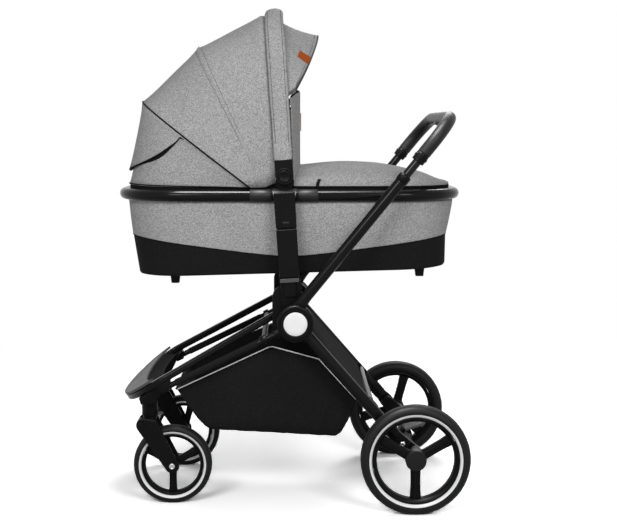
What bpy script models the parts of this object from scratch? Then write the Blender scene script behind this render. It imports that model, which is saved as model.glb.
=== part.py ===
"""Three-in-one pram: folding chassis, lift-off carrycot, hood and apron.

Metres, +Z up. +X points to the push handle and the front wheels are at -X. The origin is
on the floor, under the middle of the object. Left is -Y, as the person pushing sees it.
Side-view points are written as (x, z) and side pieces are built once for each sign of y.
"""

import math

import bmesh
import bpy
from mathutils import Matrix, Vector

# Clearances
SEAT = 0.0004  # between two solids that rest on each other
RUN = 0.0008  # beside a piece that turns or slides

# Fold hub, in side view, and the layers of its knuckles away from the centre plane
HUB_X = 0.0127
HUB_Z = 0.449
HUB_RADIUS = 0.041
HUB_PIN_RADIUS = 0.008
BRACKET_INNER_Y = 0.206
BRACKET_THICKNESS = 0.026
LEG_KNUCKLE_THICKNESS = 0.0135
HANDLE_KNUCKLE_THICKNESS = 0.016
CAP_RADIUS = 0.044
CAP_THICKNESS = 0.008
DISC_RADIUS = 0.028
DISC_THICKNESS = 0.002

# Front frame: one flat-oval tube bent round the front
FRONT_SLOPE = 29.0  # degrees
FRONT_TUBE_OFFSET = 0.0312  # above the hub centre, square to the tube
FRONT_TUBE_START = 0.030
FRONT_STRAIGHT = 0.349  # to where the front bow begins
FRONT_BOW = 0.108  # length of the bow along the slope
FRONT_DROOP = 0.016  # how far the bow's tip lies below the tubes' plane
FRAME_HALF_WIDTH = 0.2195  # at the bow
FRAME_HUB_HALF_WIDTH = 0.170  # where the tubes enter the hubs
FRAME_TUBE_WIDTH = 0.022
FRAME_TUBE_HEIGHT = 0.0175
FOOTREST_THICKNESS = 0.006
FOOTREST_DEPTH = 0.104
FOOTREST_CUT = 0.034

# Basket rails and the cross tube between them
RAIL_SLOPE = 25.8  # degrees
RAIL_OFFSET = -0.0091
RAIL_START = 0.036
RAIL_END = 0.351
RAIL_Y = 0.2165
RAIL_RADIUS = 0.007
CHANNEL_START = 0.104  # the basket's sewn channel round the rail
CHANNEL_END = 0.322
CHANNEL_WALL = 0.0012
CROSS_TUBE_AT = 0.087
CROSS_TUBE_RADIUS = 0.007
CROSS_CLIP_RADIUS = 0.0115
CROSS_CLIP_WIDTH = 0.014

# Rear legs and axle
REAR_AXLE_X = 0.2957
REAR_WHEEL_RADIUS = 0.130
REAR_TRACK = 0.563
LEG_BOLT_BACK = 0.028  # the leg's end bolt, forward of the axle
LEG_BOLT_UP = 0.029  # and above it
LEG_Y = 0.2396
LEG_TUBE_RADIUS = 0.014
LEG_SLEEVE_RADIUS = 0.0155
LEG_SLEEVE_LENGTH = 0.042
LEG_SLEEVE_RIBS = 3
LEG_END_RADIUS = 0.0180
LEG_END_THICKNESS = 0.018
LEG_END_GAP = 0.0185  # from the bolt back to where the full tube begins
LEG_BOLT_RADIUS = 0.004
BRACE_AT = 0.268  # along the leg from the hub
BRACE_RADIUS = 0.008
AXLE_BEAM_RADIUS = 0.010
AXLE_HOUSING_RADIUS = 0.0212
STUB_AXLE_RADIUS = 0.006
PEDAL_WIDTH = 0.080
PEDAL_LENGTH = 0.052
PEDAL_THICKNESS = 0.007

# Front casters
FRONT_AXLE_X = -0.2848
FRONT_WHEEL_RADIUS = 0.095
FRONT_TRACK = 0.350
CASTER_TRAIL = 0.0554
STEM_RADIUS = 0.019
STEM_BOTTOM_Z = 0.2146
STEM_TOP_Z = 0.2560
STEM_PIN_RADIUS = 0.008
CASTER_BOLT_BACK = 0.0746
CASTER_BOLT_UP = 0.0993
CASTER_BOLT_RADIUS = 0.005
CASTER_ARM_THICKNESS = 0.009
SOCKET_REAR = 0.332  # along the front tube from the hub
SOCKET_FRONT = 0.412
CASTER_ARM_GAP = 0.0035  # from the tyre's side to the arm
FRONT_AXLE_RADIUS = 0.0055

# Wheels
REAR_TYRE_WIDTH = 0.044
REAR_TYRE_DEPTH = 0.028
REAR_RIM_DEPTH = 0.0090
REAR_HUB_RADIUS = 0.021
REAR_SPOKE_WIDTH = 0.022
FRONT_TYRE_WIDTH = 0.035
FRONT_TYRE_DEPTH = 0.0205
FRONT_RIM_DEPTH = 0.0070
FRONT_HUB_RADIUS = 0.014
FRONT_SPOKE_WIDTH = 0.0165
SPOKES = 3
REAR_WHEEL_SIDES = 28
FRONT_WHEEL_SIDES = 24

# Push handle
HANDLE_ANGLE = 50.7  # degrees
HANDLE_OFFSET = 0.020
HANDLE_TUBE_START = 0.0445
HANDLE_TUBE_END = 0.4369
HANDLE_TUBE_RADIUS = 0.0135
HANDLE_BORE_RADIUS = 0.0112
HANDLE_INNER_RADIUS = 0.0105
HANDLE_INNER_START = 0.160
HANDLE_CAP_RADIUS = 0.0152
HANDLE_CAP_LENGTH = 0.018
TRIGGER_START = 0.4766
TRIGGER_LENGTH = 0.024
TRIGGER_RADIUS = 0.0160
GRIP_RADIUS = 0.0160
CROSSBAR_AT = 0.6105
HANDLE_BEND = 0.085
BUTTON_WIDTH = 0.034

# Adapter post between the hub and the carrycot rim
POST_LEAN = 3.5  # degrees from vertical, towards the front
POST_BOTTOM_Z = 0.5525
POST_WIDTH = 0.049
POST_THICKNESS = 0.020
TONGUE_WIDTH = 0.030
TONGUE_THICKNESS = 0.012
TONGUE_DEPTH = 0.045

# Carrycot
RIM_Z = 0.747
RIM_RADIUS = 0.01275
RIM_HALF_LENGTH = 0.4156
RIM_HALF_WIDTH = 0.1935
RIM_CORNER = 0.160
CLAMP_RADIUS = 0.0155
CLAMP_FRONT_X = -0.0961
CLAMP_REAR_X = 0.0677
LIP_INSET = CLAMP_RADIUS + SEAT  # from the rim's centreline to the lip's outer face
LIP_TOP_Z = 0.7715
SHOULDER_Z = 0.7300
SHOULDER_INSET = 0.0063
COT_WALL = 0.007
COT_BOTTOM_Z = 0.557
COT_BOTTOM_RISE = 0.026  # rise of the bottom per metre towards the foot end
COT_BOTTOM_INSET = 0.031
COT_FLOOR = 0.012
TRAY_MIDDLE_Z = 0.5995
TRAY_END_SLOPE = 0.139
TRAY_MIDDLE_ROUND = 0.060
MATTRESS_THICKNESS = 0.035
FOOT_HEIGHT = 0.0215
FOOT_WIDTH = 0.024
FOOT_FRONT_X = -0.2823
FOOT_REAR_X = 0.3207
FOOT_Y = 0.105
APRON_FRONT_X = 0.0245
APRON_THICKNESS = 0.003
FLAP_TOP_Z = 1.003
FLAP_HALF_WIDTH = 0.185
FLAP_THICKNESS = 0.006

# Hood: hoops that turn on one axis through both hood joints
HOOD_X = -0.0128
HOOD_Z = 0.794
HOOD_PLATE_Y = 0.186
HOOD_PLATE_THICKNESS = 0.0110
BOW_BLOCK_THICKNESS = 0.0190
BOW_BLOCK_RADIUS = 0.0215
BOW_ANGLE = 93.8  # degrees above the line towards the handle
BOW_REACH = 0.408
BOW_TUBE_RADIUS = 0.005
SLEEVE_WIDTH = 0.046
SLEEVE_DEPTH = 0.017
SLEEVE_START = 0.050
HOOD_BUTTON_RADIUS = 0.0150
FRONT_RIB_ANGLE = 124.4
FRONT_RIB_REACH = 0.3802
REAR_RIB_ANGLE = 152.9
REAR_RIB_REACH = 0.3950
RIB_RADIUS = 0.003
RIB_FLARE = 0.003  # how far a rib's sides stand out beyond its eyelets
HOOD_CLOTH = 0.003
VISOR_TIP = Vector((0.0717, 1.1420))
VISOR_SWEEP = 0.0560  # how far its side ends lie behind the tip
VISOR_DROP = 0.1340  # and below it
VISOR_HALF_WIDTH = 0.190
CLOTH_HALF_WIDTH = 0.2045
CLOTH_SAG = 0.007
SEAM_GAP = 0.0024
BOW_SEAM_TOP = Vector((-0.0640, 1.1935))
BOW_SEAM_FOOT = Vector((-0.0402, 0.797))
FRONT_SEAM_TOP = Vector((-0.2318, 1.1140))
FRONT_SEAM_FOOT = Vector((-0.0620, 0.7810))
REAR_SEAM_TOP = Vector((-0.3722, 0.9780))
REAR_SEAM_FOOT = Vector((-0.0965, 0.7765))

SIDES = (("left", -1), ("right", 1))


# Points in side view

def turned(angle):
    """Unit vector (x, z) at this many degrees above the line towards the handle."""
    return Vector((math.cos(math.radians(angle)), math.sin(math.radians(angle))))


def on_line(angle, offset, along):
    """A point on the line that passes the hub at this offset, at this distance along it."""
    direction = turned(angle)
    normal = Vector((-direction.y, direction.x))
    return Vector((HUB_X, HUB_Z)) + normal * offset + direction * along


def front_point(along):
    """A point on the front tube's centreline, which bends down a little in the bow."""
    bend = max(0.0, along - FRONT_STRAIGHT) / FRONT_BOW
    return on_line(FRONT_SLOPE, FRONT_TUBE_OFFSET, -along) - Vector((0, FRONT_DROOP * bend ** 1.4))


def rail_point(along):
    return on_line(RAIL_SLOPE, RAIL_OFFSET, -along)


def handle_point(along):
    return on_line(HANDLE_ANGLE, HANDLE_OFFSET, along)


def at(point, y):
    """A side-view point as a point in space."""
    return Vector((point[0], y, point[1]))


def axle_height(radius, sides):
    """Height of a wheel's axle when one flat of its tyre lies on the floor."""
    return radius * math.cos(math.pi / sides)


HUB = Vector((HUB_X, HUB_Z))
REAR_AXLE = Vector((REAR_AXLE_X, axle_height(REAR_WHEEL_RADIUS, REAR_WHEEL_SIDES)))
FRONT_AXLE = Vector((FRONT_AXLE_X, axle_height(FRONT_WHEEL_RADIUS, FRONT_WHEEL_SIDES)))
LEG_BOLT = REAR_AXLE + Vector((-LEG_BOLT_BACK, LEG_BOLT_UP))
CASTER_X = FRONT_AXLE_X - CASTER_TRAIL
CASTER_BOLT = FRONT_AXLE + Vector((-CASTER_BOLT_BACK, CASTER_BOLT_UP))
HOOD_AXIS = Vector((HOOD_X, HOOD_Z))
POST_UP = turned(90 + POST_LEAN)
POST_FOOT = HUB + POST_UP * ((POST_BOTTOM_Z - HUB_Z) / POST_UP.y) + Vector((-0.0075, 0))
BRACKET_OUTER_Y = BRACKET_INNER_Y + BRACKET_THICKNESS
LEG_KNUCKLE_Y = BRACKET_OUTER_Y + RUN
HANDLE_KNUCKLE_Y = LEG_KNUCKLE_Y + LEG_KNUCKLE_THICKNESS + RUN
CAP_Y = HANDLE_KNUCKLE_Y + HANDLE_KNUCKLE_THICKNESS + RUN
HANDLE_Y = HANDLE_KNUCKLE_Y + HANDLE_KNUCKLE_THICKNESS / 2
POST_Y = BRACKET_INNER_Y + BRACKET_THICKNESS / 2
WHEEL_Y = REAR_TRACK / 2
CASTER_Y = FRONT_TRACK / 2
ARM_INNER = FRONT_TYRE_WIDTH / 2 + CASTER_ARM_GAP


# Mesh tools

def finish(name, mesh_builder, material, smooth=True):
    """An object from a bmesh, with its faces pointing out."""
    bmesh.ops.recalc_face_normals(mesh_builder, faces=mesh_builder.faces)
    mesh = bpy.data.meshes.new(name)
    mesh_builder.to_mesh(mesh)
    mesh_builder.free()
    part = bpy.data.objects.new(name, mesh)
    bpy.context.scene.collection.objects.link(part)
    mesh.materials.append(material)
    if smooth:
        mesh.shade_smooth()
        mesh.set_sharp_from_angle(angle=math.radians(35))
    return part


def loft(rings, closed=False):
    """A bmesh whose faces join each ring of points to the next, capped at both ends."""
    builder = bmesh.new()
    loops = [[builder.verts.new(point) for point in ring] for ring in rings]
    pairs = list(zip(loops, loops[1:]))
    if closed:
        pairs.append((loops[-1], loops[0]))
    for first, second in pairs:
        for i in range(len(first)):
            j = (i + 1) % len(first)
            builder.faces.new((first[i], first[j], second[j], second[i]))
    if not closed:
        builder.faces.new(loops[0][::-1])
        builder.faces.new(loops[-1])
    return builder


def circle(centre, radius, count, start=0.0):
    """Points round a circle in a plane."""
    step = 2 * math.pi / count
    return [
        Vector((
            centre[0] + radius * math.cos(start + i * step),
            centre[1] + radius * math.sin(start + i * step),
        ))
        for i in range(count)
    ]


def oval(width, height, count, power=2.0):
    """A rounded section, wider than a circle in its corners when power is above 2."""
    points = []
    for i in range(count):
        angle = 2 * math.pi * (i + 0.5) / count
        c = math.cos(angle)
        s = math.sin(angle)
        points.append(Vector((
            math.copysign(abs(c) ** (2 / power), c) * width / 2,
            math.copysign(abs(s) ** (2 / power), s) * height / 2,
        )))
    return points


def hull(points):
    """The convex outline round some points, anticlockwise."""
    ordered = sorted({(round(p[0], 7), round(p[1], 7)) for p in points})

    def half(sequence):
        chain = []
        for p in sequence:
            while len(chain) > 1 and (
                (chain[-1][0] - chain[-2][0]) * (p[1] - chain[-2][1])
                - (chain[-1][1] - chain[-2][1]) * (p[0] - chain[-2][0])
            ) <= 0:
                chain.pop()
            chain.append(p)
        return chain[:-1]

    return [Vector(p) for p in half(ordered) + half(ordered[::-1])]


def hull_of_circles(circles, count=12):
    """The outline of a belt stretched round some circles, given as (centre, radius)."""
    points = []
    for centre, radius in circles:
        points += circle(centre, radius, count)
    return hull(points)


def prism(outline, first_y, second_y):
    """A side-view outline made solid from one y to another."""
    return loft([[at(p, first_y) for p in outline], [at(p, second_y) for p in outline]])


def sweep(path, normal, section, closed=False, scales=None):
    """A section carried along a planar path. Its first coordinate lies in the plane."""
    rings = []
    last = len(path) - 1
    for i, point in enumerate(path):
        before = path[i - 1] if closed or i else point
        after = path[(i + 1) % len(path)] if closed or i < last else point
        tangent = (after - before).normalized()
        side = tangent.cross(normal).normalized()
        scale = scales[i] if scales else 1.0
        rings.append([point + (side * s.x + normal * s.y) * scale for s in section])
    return loft(rings, closed)


def rod(start, end, radius, count=12):
    """A round bar between two points."""
    direction = (end - start).normalized()
    guide = Vector((0, 1, 0)) if abs(direction.y) < 0.9 else Vector((0, 0, 1))
    side = direction.cross(guide).normalized()
    other = direction.cross(side).normalized()
    ring = circle((0, 0), radius, count, math.pi / count)
    return loft([[p + side * c.x + other * c.y for c in ring] for p in (start, end)])


def lathe(profile, centre, count, sign=1, start=0.0):
    """A closed profile of (radius, y) turned about the line through centre along Y."""
    rings = []
    for i in range(count):
        angle = start + 2 * math.pi * i / count
        c = math.cos(angle)
        s = math.sin(angle)
        rings.append([
            Vector((centre[0] + r * c, sign * y, centre[1] + r * s)) for r, y in profile
        ])
    return loft(rings, closed=True)


def box(low, high):
    """A bmesh box between two corners."""
    builder = bmesh.new()
    bmesh.ops.create_cube(builder, size=1.0)
    size = Vector(high) - Vector(low)
    middle = (Vector(high) + Vector(low)) / 2
    bmesh.ops.transform(
        builder,
        matrix=Matrix.Translation(middle) @ Matrix.Diagonal((*size, 1)),
        verts=builder.verts,
    )
    return builder


def helper(name, builder):
    """A shape that only cuts or joins another, and isn't a piece itself."""
    shape = finish(name, builder, MATERIALS["frame"], smooth=False)
    shape.hide_render = True
    shape.display_type = "WIRE"
    return shape


def combine(part, operation, *builders):
    """Join shapes to a part, or cut them out of it."""
    for i, builder in enumerate(builders):
        count = len(part.modifiers)
        tool = helper(f"{part.name}.{operation.lower()}{count}", builder)
        modifier = part.modifiers.new(f"{operation.lower()}{i}", "BOOLEAN")
        modifier.operation = operation
        modifier.solver = "EXACT"
        modifier.object = tool
        tool.parent = part.parent
    return part


def join(part, *builders):
    return combine(part, "UNION", *builders)


def cut(part, *builders):
    return combine(part, "DIFFERENCE", *builders)


def soften(part, width, segments=1):
    """Round the part's hard edges."""
    bevel = part.modifiers.new("bevel", "BEVEL")
    bevel.width = width
    bevel.segments = segments
    bevel.limit_method = "ANGLE"
    bevel.angle_limit = math.radians(40)
    bevel.harden_normals = False
    return part


def sheet(name, rows, thickness, material):
    """A cloth surface through rows of points, made solid inwards."""
    builder = bmesh.new()
    grid = [[builder.verts.new(point) for point in row] for row in rows]
    for low, high in zip(grid, grid[1:]):
        for i in range(len(low) - 1):
            builder.faces.new((low[i], low[i + 1], high[i + 1], high[i]))
    mesh = bpy.data.meshes.new(name)
    builder.to_mesh(mesh)
    builder.free()
    part = bpy.data.objects.new(name, mesh)
    bpy.context.scene.collection.objects.link(part)
    mesh.materials.append(material)
    mesh.shade_smooth()
    solid = part.modifiers.new("thickness", "SOLIDIFY")
    solid.thickness = thickness
    solid.offset = -1.0
    return part


def smooth_curve(points, samples):
    """Points on a smooth curve through the given ones, each span cut in equal steps."""
    curve = []
    padded = [points[0] * 2 - points[1], *points, points[-1] * 2 - points[-2]]
    for i in range(1, len(padded) - 2):
        a, b, c, d = padded[i - 1 : i + 3]
        for step in range(samples):
            t = step / samples
            curve.append(0.5 * (
                2 * b + (c - a) * t + (2 * a - 5 * b + 4 * c - d) * t * t
                + (3 * b - a - 3 * c + d) * t ** 3
            ))
    curve.append(points[-1])
    return curve


# Materials

def make_material(name, colour, roughness, metallic=0.0):
    material = bpy.data.materials.new(name)
    material.use_nodes = True
    shader = material.node_tree.nodes["Principled BSDF"]
    shader.inputs["Base Color"].default_value = (*colour, 1)
    shader.inputs["Roughness"].default_value = roughness
    shader.inputs["Metallic"].default_value = metallic
    return material


def make_materials():
    return {
        "frame": make_material("frame", (0.012, 0.012, 0.013), 0.35, 0.6),
        "plastic": make_material("plastic", (0.022, 0.022, 0.024), 0.5),
        "grey_plastic": make_material("grey_plastic", (0.09, 0.09, 0.09), 0.55),
        "tyre": make_material("tyre", (0.02, 0.02, 0.02), 0.75),
        "steel": make_material("steel", (0.6, 0.6, 0.62), 0.25, 1.0),
        "reflector": make_material("reflector", (0.85, 0.85, 0.85), 0.4),
        "leather": make_material("leather", (0.018, 0.018, 0.018), 0.5),
        "melange": make_material("melange", (0.34, 0.34, 0.34), 0.95),
        "black_cloth": make_material("black_cloth", (0.014, 0.014, 0.015), 0.9),
        "mattress": make_material("mattress", (0.62, 0.61, 0.59), 0.9),
    }


# Bodies

def make_body(name, x=0.0, y=0.0, z=0.0, parent=None):
    """An empty on a joint's axis, which the pieces of one moving body hang from."""
    empty = bpy.data.objects.new(name, None)
    empty.empty_display_size = 0.03
    bpy.context.scene.collection.objects.link(empty)
    empty["world"] = (x, y, z)
    origin = Vector(parent["world"]) if parent else Vector((0, 0, 0))
    empty.parent = parent
    empty.location = Vector((x, y, z)) - origin
    return empty


def carry(body, *parts):
    """Hang finished parts from a body, with their origins on its axis."""
    origin = Vector(body["world"])
    for part in parts:
        tools = [m.object for m in part.modifiers if m.type == "BOOLEAN"]
        for piece in [part, *tools]:
            piece.data.transform(Matrix.Translation(-origin))
            piece.parent = body


# Wheels

def wheel_shapes(radius, width, tyre_depth, rim_depth, hub_radius, spoke_width, sides):
    """Profiles of (radius, distance from the wheel's middle) for tyre, rim ring and hub."""
    half = width / 2
    seat = radius - tyre_depth
    tyre = [
        (seat, -0.66 * half),
        (seat, 0.66 * half),
        (seat + 0.42 * tyre_depth, half),
        (seat + 0.82 * tyre_depth, 0.78 * half),
        (radius, 0.32 * half),
        (radius, -0.32 * half),
        (seat + 0.82 * tyre_depth, -0.78 * half),
        (seat + 0.42 * tyre_depth, -half),
    ]
    outer = seat - SEAT
    inner = outer - rim_depth
    ring = [
        (inner, -0.55 * half),
        (inner, 0.55 * half),
        (outer, 0.80 * half),
        (outer, -0.80 * half),
    ]
    return tyre, ring, inner


def make_wheel(end, side, sign, centre, middle_y, sizes, bore, hub_span, capped):
    """A tyre on a three-spoked rim. hub_span gives the hub's inner and outer y."""
    radius, width, tyre_depth, rim_depth, hub_radius, spoke_width, sides = sizes
    tyre_profile, ring_profile, rim_inner = wheel_shapes(*sizes)
    # A flat of the tyre, not a corner, faces the floor
    start = -math.pi / 2 + math.pi / sides
    shifted = [(r, middle_y + y) for r, y in tyre_profile]
    tyre = finish(
        f"{end}_tyre_{side}",
        lathe(shifted, centre, sides, sign, start),
        MATERIALS["tyre"],
    )
    ring = [(r, middle_y + y) for r, y in ring_profile]
    rim = finish(
        f"{end}_rim_{side}",
        lathe(ring, centre, sides, sign, start),
        MATERIALS["plastic"],
    )
    inner_y, outer_y = hub_span
    hub = rod(at(centre, sign * inner_y), at(centre, sign * outer_y), hub_radius, 18)
    spokes = []
    face = middle_y + 0.38 * width / 2
    for i in range(SPOKES):
        angle = math.radians(270 if sign < 0 else 75) + 2 * math.pi * i / SPOKES
        out = Vector((math.cos(angle), math.sin(angle)))
        across = Vector((-out.y, out.x))
        root = Vector(centre) + out * hub_radius * 0.5
        tip = Vector(centre) + out * (rim_inner + rim_depth * 0.45)
        base = [
            root - across * spoke_width * 0.50,
            tip - across * spoke_width * 0.60,
            tip + across * spoke_width * 0.60,
            root + across * spoke_width * 0.50,
        ]
        ridge = [
            root - across * spoke_width * 0.34,
            tip - across * spoke_width * 0.38,
            tip + across * spoke_width * 0.10,
            root + across * spoke_width * 0.10,
        ]
        spokes.append(prism(base, sign * (face - 0.016), sign * (face - 0.005)))
        spokes.append(prism(ridge, sign * (face - 0.007), sign * face))
    join(rim, hub, *spokes)
    if capped:
        cut(rim, rod(at(centre, sign * (inner_y - 0.01)), at(centre, sign * (outer_y - 0.005)), bore, 16))
    else:
        cut(rim, rod(at(centre, sign * (inner_y - 0.01)), at(centre, sign * (outer_y + 0.01)), bore, 16))
    return tyre, rim


REAR_SIZES = (
    REAR_WHEEL_RADIUS, REAR_TYRE_WIDTH, REAR_TYRE_DEPTH, REAR_RIM_DEPTH,
    REAR_HUB_RADIUS, REAR_SPOKE_WIDTH, REAR_WHEEL_SIDES,
)
FRONT_SIZES = (
    FRONT_WHEEL_RADIUS, FRONT_TYRE_WIDTH, FRONT_TYRE_DEPTH, FRONT_RIM_DEPTH,
    FRONT_HUB_RADIUS, FRONT_SPOKE_WIDTH, FRONT_WHEEL_SIDES,
)


# Chassis

def front_path(count=9):
    """Centreline of the front tube: down the left side, round the bow, up the right."""
    down = turned(FRONT_SLOPE)
    run = FRONT_STRAIGHT - FRONT_TUBE_START
    splay = FRAME_HALF_WIDTH - FRAME_HUB_HALF_WIDTH
    left = []
    for share, width in ((0.0, 0.0), (0.45, 0.45), (0.80, 0.82)):
        point = front_point(FRONT_TUBE_START + run * share)
        left.append(at(point, -FRAME_HUB_HALF_WIDTH - splay * width))
    bow = []
    for i in range(2 * count + 1):
        angle = math.pi * i / (2 * count)
        along = FRONT_STRAIGHT + FRONT_BOW * math.sin(angle)
        bow.append(at(front_point(along), -FRAME_HALF_WIDTH * math.cos(angle)))
    right = [Vector((p.x, -p.y, p.z)) for p in left[::-1]]
    return left + bow + right, Vector((-down.y, 0, down.x))


def front_tube_shape(grow=0.0, count=10):
    path, normal = front_path()
    section = oval(FRAME_TUBE_WIDTH + 2 * grow, FRAME_TUBE_HEIGHT + 2 * grow, count, 2.6)
    return sweep(path, normal, section)


def make_front_frame():
    return finish("front_frame", front_tube_shape(), MATERIALS["frame"])


def make_rail(side, sign):
    y = sign * RAIL_Y
    shape = rod(at(rail_point(RAIL_START), y), at(rail_point(RAIL_END), y), RAIL_RADIUS, 12)
    return finish(f"basket_rail_{side}", shape, MATERIALS["frame"])


def make_hub_bracket(side, sign):
    """The fixed middle of the fold hub, with the carrycot's socket above it."""
    flange = hull_of_circles([(HUB, 0.030), (rail_point(RAIL_START + 0.008), RAIL_RADIUS + 0.005)])
    tube_seat = FRAME_TUBE_HEIGHT / 2 + 0.006
    inner_flange = hull_of_circles([(HUB, 0.028), (front_point(FRONT_TUBE_START), tube_seat)])
    reach = sign * (FRAME_HUB_HALF_WIDTH - FRAME_TUBE_WIDTH / 2 - 0.003)
    inner = sign * BRACKET_INNER_Y
    outer = sign * BRACKET_OUTER_Y
    bracket = finish(f"hub_bracket_{side}", prism(circle(HUB, HUB_RADIUS, 20), inner, outer),
                     MATERIALS["plastic"])
    across = Vector((POST_UP.y, -POST_UP.x))
    top = POST_FOOT - POST_UP * SEAT
    half = across * (POST_WIDTH / 2)
    socket = [top - half, top + half, HUB + half * 0.9, HUB - half * 0.9]
    rail_start = rail_point(RAIL_START - 0.010)
    rail_seat = rail_point(RAIL_START + 0.022)
    rail_y = sign * RAIL_Y
    join(
        bracket,
        prism(flange, inner + sign * 0.0006, outer - sign * 0.0006),
        prism(inner_flange, reach, inner + sign * 0.003),
        prism(socket, inner + sign * 0.0012, outer - sign * 0.0012),
        rod(at(rail_start, rail_y), at(rail_seat, rail_y), RAIL_RADIUS + 0.0045, 14),
        rod(at(HUB, outer - sign * 0.004), at(HUB, sign * (CAP_Y - SEAT)), HUB_PIN_RADIUS, 16),
    )
    mouth = top + POST_UP * 0.01
    floor = top - POST_UP * (TONGUE_DEPTH + 0.002)
    slot = across * (TONGUE_WIDTH / 2 + RUN)
    well = [mouth - slot, mouth + slot, floor + slot, floor - slot]
    depth = TONGUE_THICKNESS / 2 + RUN
    cut(
        bracket,
        prism(well, sign * (POST_Y - depth), sign * (POST_Y + depth)),
        front_tube_shape(SEAT),
        rod(at(rail_point(RAIL_START - SEAT), rail_y), at(rail_point(RAIL_END), rail_y),
            RAIL_RADIUS + SEAT, 12),
    )
    return bracket


def make_hub_cap(side, sign):
    """A stepped cap with a groove and a seat for the pale disc."""
    steps = [
        (CAP_RADIUS - 0.002, 0),
        (CAP_RADIUS, 0.002),
        (CAP_RADIUS, CAP_THICKNESS - 0.003),
        (CAP_RADIUS - 0.004, CAP_THICKNESS - 0.001),
        (CAP_RADIUS - 0.008, CAP_THICKNESS - 0.001),
        (CAP_RADIUS - 0.009, CAP_THICKNESS - 0.003),
        (CAP_RADIUS - 0.010, CAP_THICKNESS),
        (DISC_RADIUS + SEAT, CAP_THICKNESS),
        (DISC_RADIUS + SEAT, CAP_THICKNESS - DISC_THICKNESS),
    ]
    rings = [
        [at(p, sign * (CAP_Y + depth)) for p in circle(HUB, radius, 20)]
        for radius, depth in steps
    ]
    return finish(f"hub_cap_{side}", loft(rings), MATERIALS["plastic"])


def make_hub_disc(side, sign):
    low = CAP_Y + CAP_THICKNESS - DISC_THICKNESS + SEAT
    shape = rod(at(HUB, sign * low), at(HUB, sign * (low + DISC_THICKNESS)), DISC_RADIUS, 20)
    return finish(f"hub_disc_{side}", shape, MATERIALS["reflector"])


def make_cross_tube():
    """The tube between the two rails, with a clip round each."""
    middle = rail_point(CROSS_TUBE_AT)
    reach = RAIL_Y - RAIL_RADIUS * 0.5
    tube = finish(
        "front_cross_tube",
        rod(at(middle, -reach), at(middle, reach), CROSS_TUBE_RADIUS, 12),
        MATERIALS["frame"],
    )
    ahead = rail_point(CROSS_TUBE_AT - CROSS_CLIP_WIDTH / 2)
    behind = rail_point(CROSS_TUBE_AT + CROSS_CLIP_WIDTH / 2)
    far_ahead = rail_point(CROSS_TUBE_AT - CROSS_CLIP_WIDTH)
    far_behind = rail_point(CROSS_TUBE_AT + CROSS_CLIP_WIDTH)
    for sign in (-1, 1):
        y = sign * RAIL_Y
        join(tube, rod(at(ahead, y), at(behind, y), CROSS_CLIP_RADIUS, 16))
    for sign in (-1, 1):
        y = sign * RAIL_Y
        cut(tube, rod(at(far_ahead, y), at(far_behind, y), RAIL_RADIUS + SEAT, 12))
    return tube


def make_footrest():
    """A moulded plate on top of the front bow, cut in at the back."""
    outer_half = FRAME_HALF_WIDTH + FRAME_TUBE_WIDTH / 2
    bow = FRONT_BOW + FRAME_TUBE_WIDTH / 2
    tip = FRONT_STRAIGHT + bow
    back = tip - FOOTREST_DEPTH
    limit = math.asin((back - FRONT_STRAIGHT) / bow)
    outline = []
    steps = 16
    for i in range(steps + 1):
        angle = limit + (math.pi - 2 * limit) * i / steps
        outline.append((FRONT_STRAIGHT + bow * math.sin(angle), -outer_half * math.cos(angle)))
    reach = outline[-1][1]
    for i in range(1, 10):
        y = reach - 2 * reach * i / 10
        dip = FOOTREST_CUT * (1 - (y / reach) ** 2) ** 0.6
        outline.append((back + dip, y))
    slope = turned(FRONT_SLOPE)
    up = Vector((-slope.y, 0, slope.x))
    lift = FRAME_TUBE_HEIGHT / 2 + SEAT + 0.0009
    rings = []
    for height, inset in (
        (lift, 1.0), (lift + FOOTREST_THICKNESS * 0.6, 1.0), (lift + FOOTREST_THICKNESS, 0.985),
    ):
        middle = Vector(((back + tip) / 2, 0))
        rings.append([
            at(front_point(middle.x + (a - middle.x) * inset), y * inset) + up * height
            for a, y in outline
        ])
    return finish("footrest", loft(rings), MATERIALS["grey_plastic"])


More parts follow.
